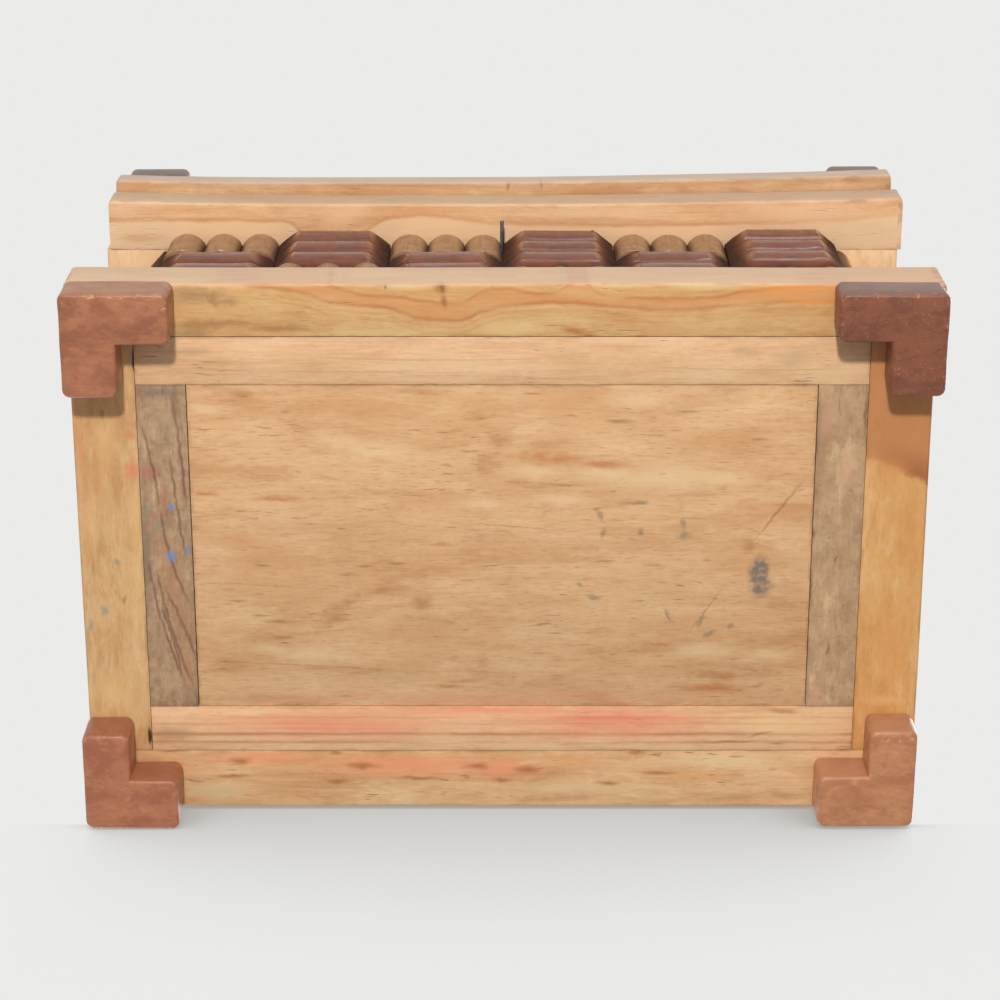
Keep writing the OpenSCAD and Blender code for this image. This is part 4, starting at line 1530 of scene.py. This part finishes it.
# %% [markdown]
# ## Metal
#
# The pin is dull grey steel. The hinges are thin brass that has gone dull and brown in patches.


# %% Steel and brass
def metal(name, bright, dull, rough):
    finish = Finish(name, bright)
    cloud = finish.noise(finish.vector("SCALE", finish.place, scale=0.35), detail=3.0, roughness=0.6)
    grit = finish.noise(finish.vector("SCALE", finish.place, scale=4.0), detail=2.0)
    finish.paint(finish.rise(cloud, 0.4, 0.7) * 0.7, dull)
    finish.set(
        Base_Color=finish.colour,
        Metallic=1.0 - finish.rise(cloud, 0.55, 0.8) * 0.4,
        Roughness=rough + (grit - 0.5) * 0.2,
        Normal=finish.bump(grit, 0.02),
    )
    return finish.material


steel = metal("dull_steel", (120, 120, 124), (70, 66, 66), 0.42)
brass = metal("aged_brass", (186, 156, 104), (140, 110, 66), 0.4)
dress(pin, steel)
for piece in hinge_parts.values():
    dress(piece, brass)
print("metal pieces dressed:", 1 + len(hinge_parts))

# %% [markdown]
# ## Floor, backdrop and light
#
# In the photograph the box lies on its back, so the floor there is a plane behind the box. Standing upright,
# the box needs a floor under its feet. Each plane shows only from its own front. Both are as pale as the room
# and glow by themselves, so no edge shows between floor and room. An Ambient Occlusion node finds what
# stands close in front of a plane and darkens it there, which gives the soft shadow of a cloudy day. The
# plane behind the box only darkens what is seen through it, so that an open lid isn't lost behind it, and it
# ends at the feet, so that it shows in no view from above.

# %% Two pale floors
# Lying down, the box rests on its back feet and on its hinges, which reach 3 mm further back, 87 mm up.
FEET_BACK = 60.1 * MM
FLOOR_SLOPE = math.atan2(3.0, 87.0)
FLOOR_DROP = 0.1 * MM
BACKDROP = (0.83, 0.83, 0.82, 1)
SHADOW = (0.36, 0.33, 0.30, 1)
SHADOW_REACH = 0.11
FLOOR_SIZE = 5.0


def pale_floor(name, matrix, see_through=None):
    """A plane seen from its front only. It keeps the box's soft shadow, and lights nothing itself."""
    bpy.ops.object.select_all(action="DESELECT")
    bpy.ops.mesh.primitive_plane_add(size=FLOOR_SIZE)
    plane = bpy.context.object
    plane.name = plane.data.name = name
    plane.data.transform(matrix)
    plane.visible_diffuse = plane.visible_shadow = plane.visible_glossy = plane.visible_transmission = False
    finish = Finish(name)
    behind = finish.add("ShaderNodeNewGeometry", out="Backfacing")
    open_sky = finish.add("ShaderNodeAmbientOcclusion", {"samples": 16}, {"Distance": SHADOW_REACH}, out="AO")
    shade = finish.rise(open_sky, 0.95, 0.0)
    if see_through:
        glow = SHADOW
        hidden = 1 - shade * (1 - behind) * (1 - see_through(finish))
    else:
        glow = finish.mix(shade, BACKDROP, SHADOW)
        hidden = behind
    clear = finish.add("ShaderNodeBsdfTransparent")
    finish.set(Base_Color=finish.colour, Emission_Color=glow, Emission_Strength=1.0, Specular_IOR_Level=0.0)
    lit = Wire(finish, finish.shader.outputs[0])
    surface = finish.add("ShaderNodeMixShader", {}, {0: hidden, 1: lit, 2: clear})
    finish.feed(finish.tree.nodes["Material Output"].inputs["Surface"], surface)
    dress(plane, finish.material)
    return plane


# In millimetres: where the plane ends above the feet's undersides, how much higher it ends between the feet,
# where that begins, and where it fades out beside the box.
END_AT_FEET = (2.5, 3.0)
END_HIGHER = 11.0
BETWEEN_FEET = (72.0, 71.0)
BESIDE_BOX = (84.0, 112.0)


def ends_at_the_feet(finish):
    """Sharp at the feet, which cover the plane's end, and fading out beside the box."""
    sideways = finish.x.maths("ABSOLUTE")
    between_feet = finish.rise(sideways, *BETWEEN_FEET) * END_HIGHER
    past = finish.rise(finish.z - between_feet, *END_AT_FEET)
    return past.maths("MAXIMUM", finish.rise(sideways, *BESIDE_BOX))


lying = Matrix.Translation((0, FEET_BACK, 0)) @ Matrix.Rotation(math.pi / 2 - FLOOR_SLOPE, 4, "X")
floors = [
    pale_floor("floor_when_lying", lying, ends_at_the_feet),
    pale_floor("floor_when_standing", Matrix.Translation((0, 0, -FLOOR_DROP))),
]
print("floors:", len(floors))

# %% Lamps
MIDDLE = Vector((0, 0, 45)) * MM
LAMP_DISTANCE = 1.5
# The direction of each lamp from the middle of the box, its size in metres, its watts and its colour.
LAMPS = {
    "key_from_the_front": ((-0.05, -0.61, -0.79), 0.09, 15.5, (1.0, 0.96, 0.91)),
    "window_in_front": ((0.15, -1.0, -0.1), 0.35, 2.5, (0.94, 0.97, 1.0)),
    "fill_from_above": ((0.6, 0.25, 0.85), 0.9, 13, (0.98, 0.99, 1.0)),
    "glow_from_behind": ((-0.45, 0.85, 0.25), 0.9, 7, (1.0, 0.98, 0.95)),
}


def soft_lamp(name, towards, size, watts, colour):
    """A square lamp that faces the middle of the box."""
    bpy.ops.object.select_all(action="DESELECT")
    bpy.ops.object.light_add(type="AREA")
    lamp = bpy.context.object
    lamp.name = lamp.data.name = name
    lamp.data.energy = watts
    lamp.data.size = size
    lamp.data.color = colour
    direction = Vector(towards).normalized()
    lamp.location = MIDDLE + direction * LAMP_DISTANCE
    lamp.rotation_euler = direction.to_track_quat("Z", "Y").to_euler()


for name, lamp in LAMPS.items():
    soft_lamp(name, *lamp)
print("lamps:", len(LAMPS))

# %% A pale room
# The room lights the box softly. The camera, and what the box mirrors or lets through, see it as pale.
ROOM_LIGHT = (0.36, 0.37, 0.38, 1)
world = bpy.data.worlds.new("pale_room")
bpy.context.scene.world = world
world.use_nodes = True
room = world.node_tree
ambient = room.nodes["Background"]
ambient.inputs["Color"].default_value = ROOM_LIGHT
backdrop = room.nodes.new("ShaderNodeBackground")
backdrop.inputs["Color"].default_value = BACKDROP
rays = room.nodes.new("ShaderNodeLightPath")
looking = rays.outputs["Is Camera Ray"]
for kind in ("Is Glossy Ray", "Is Transmission Ray"):
    either = room.nodes.new("ShaderNodeMath")
    either.operation = "MAXIMUM"
    room.links.new(looking, either.inputs[0])
    room.links.new(rays.outputs[kind], either.inputs[1])
    looking = either.outputs[0]
chooser = room.nodes.new("ShaderNodeMixShader")
for number, output in enumerate((looking, ambient.outputs[0], backdrop.outputs[0])):
    room.links.new(output, chooser.inputs[number])
room.links.new(chooser.outputs[0], room.nodes["World Output"].inputs["Surface"])
bpy.context.scene.view_settings.view_transform = "Standard"
print("room:", world.name)
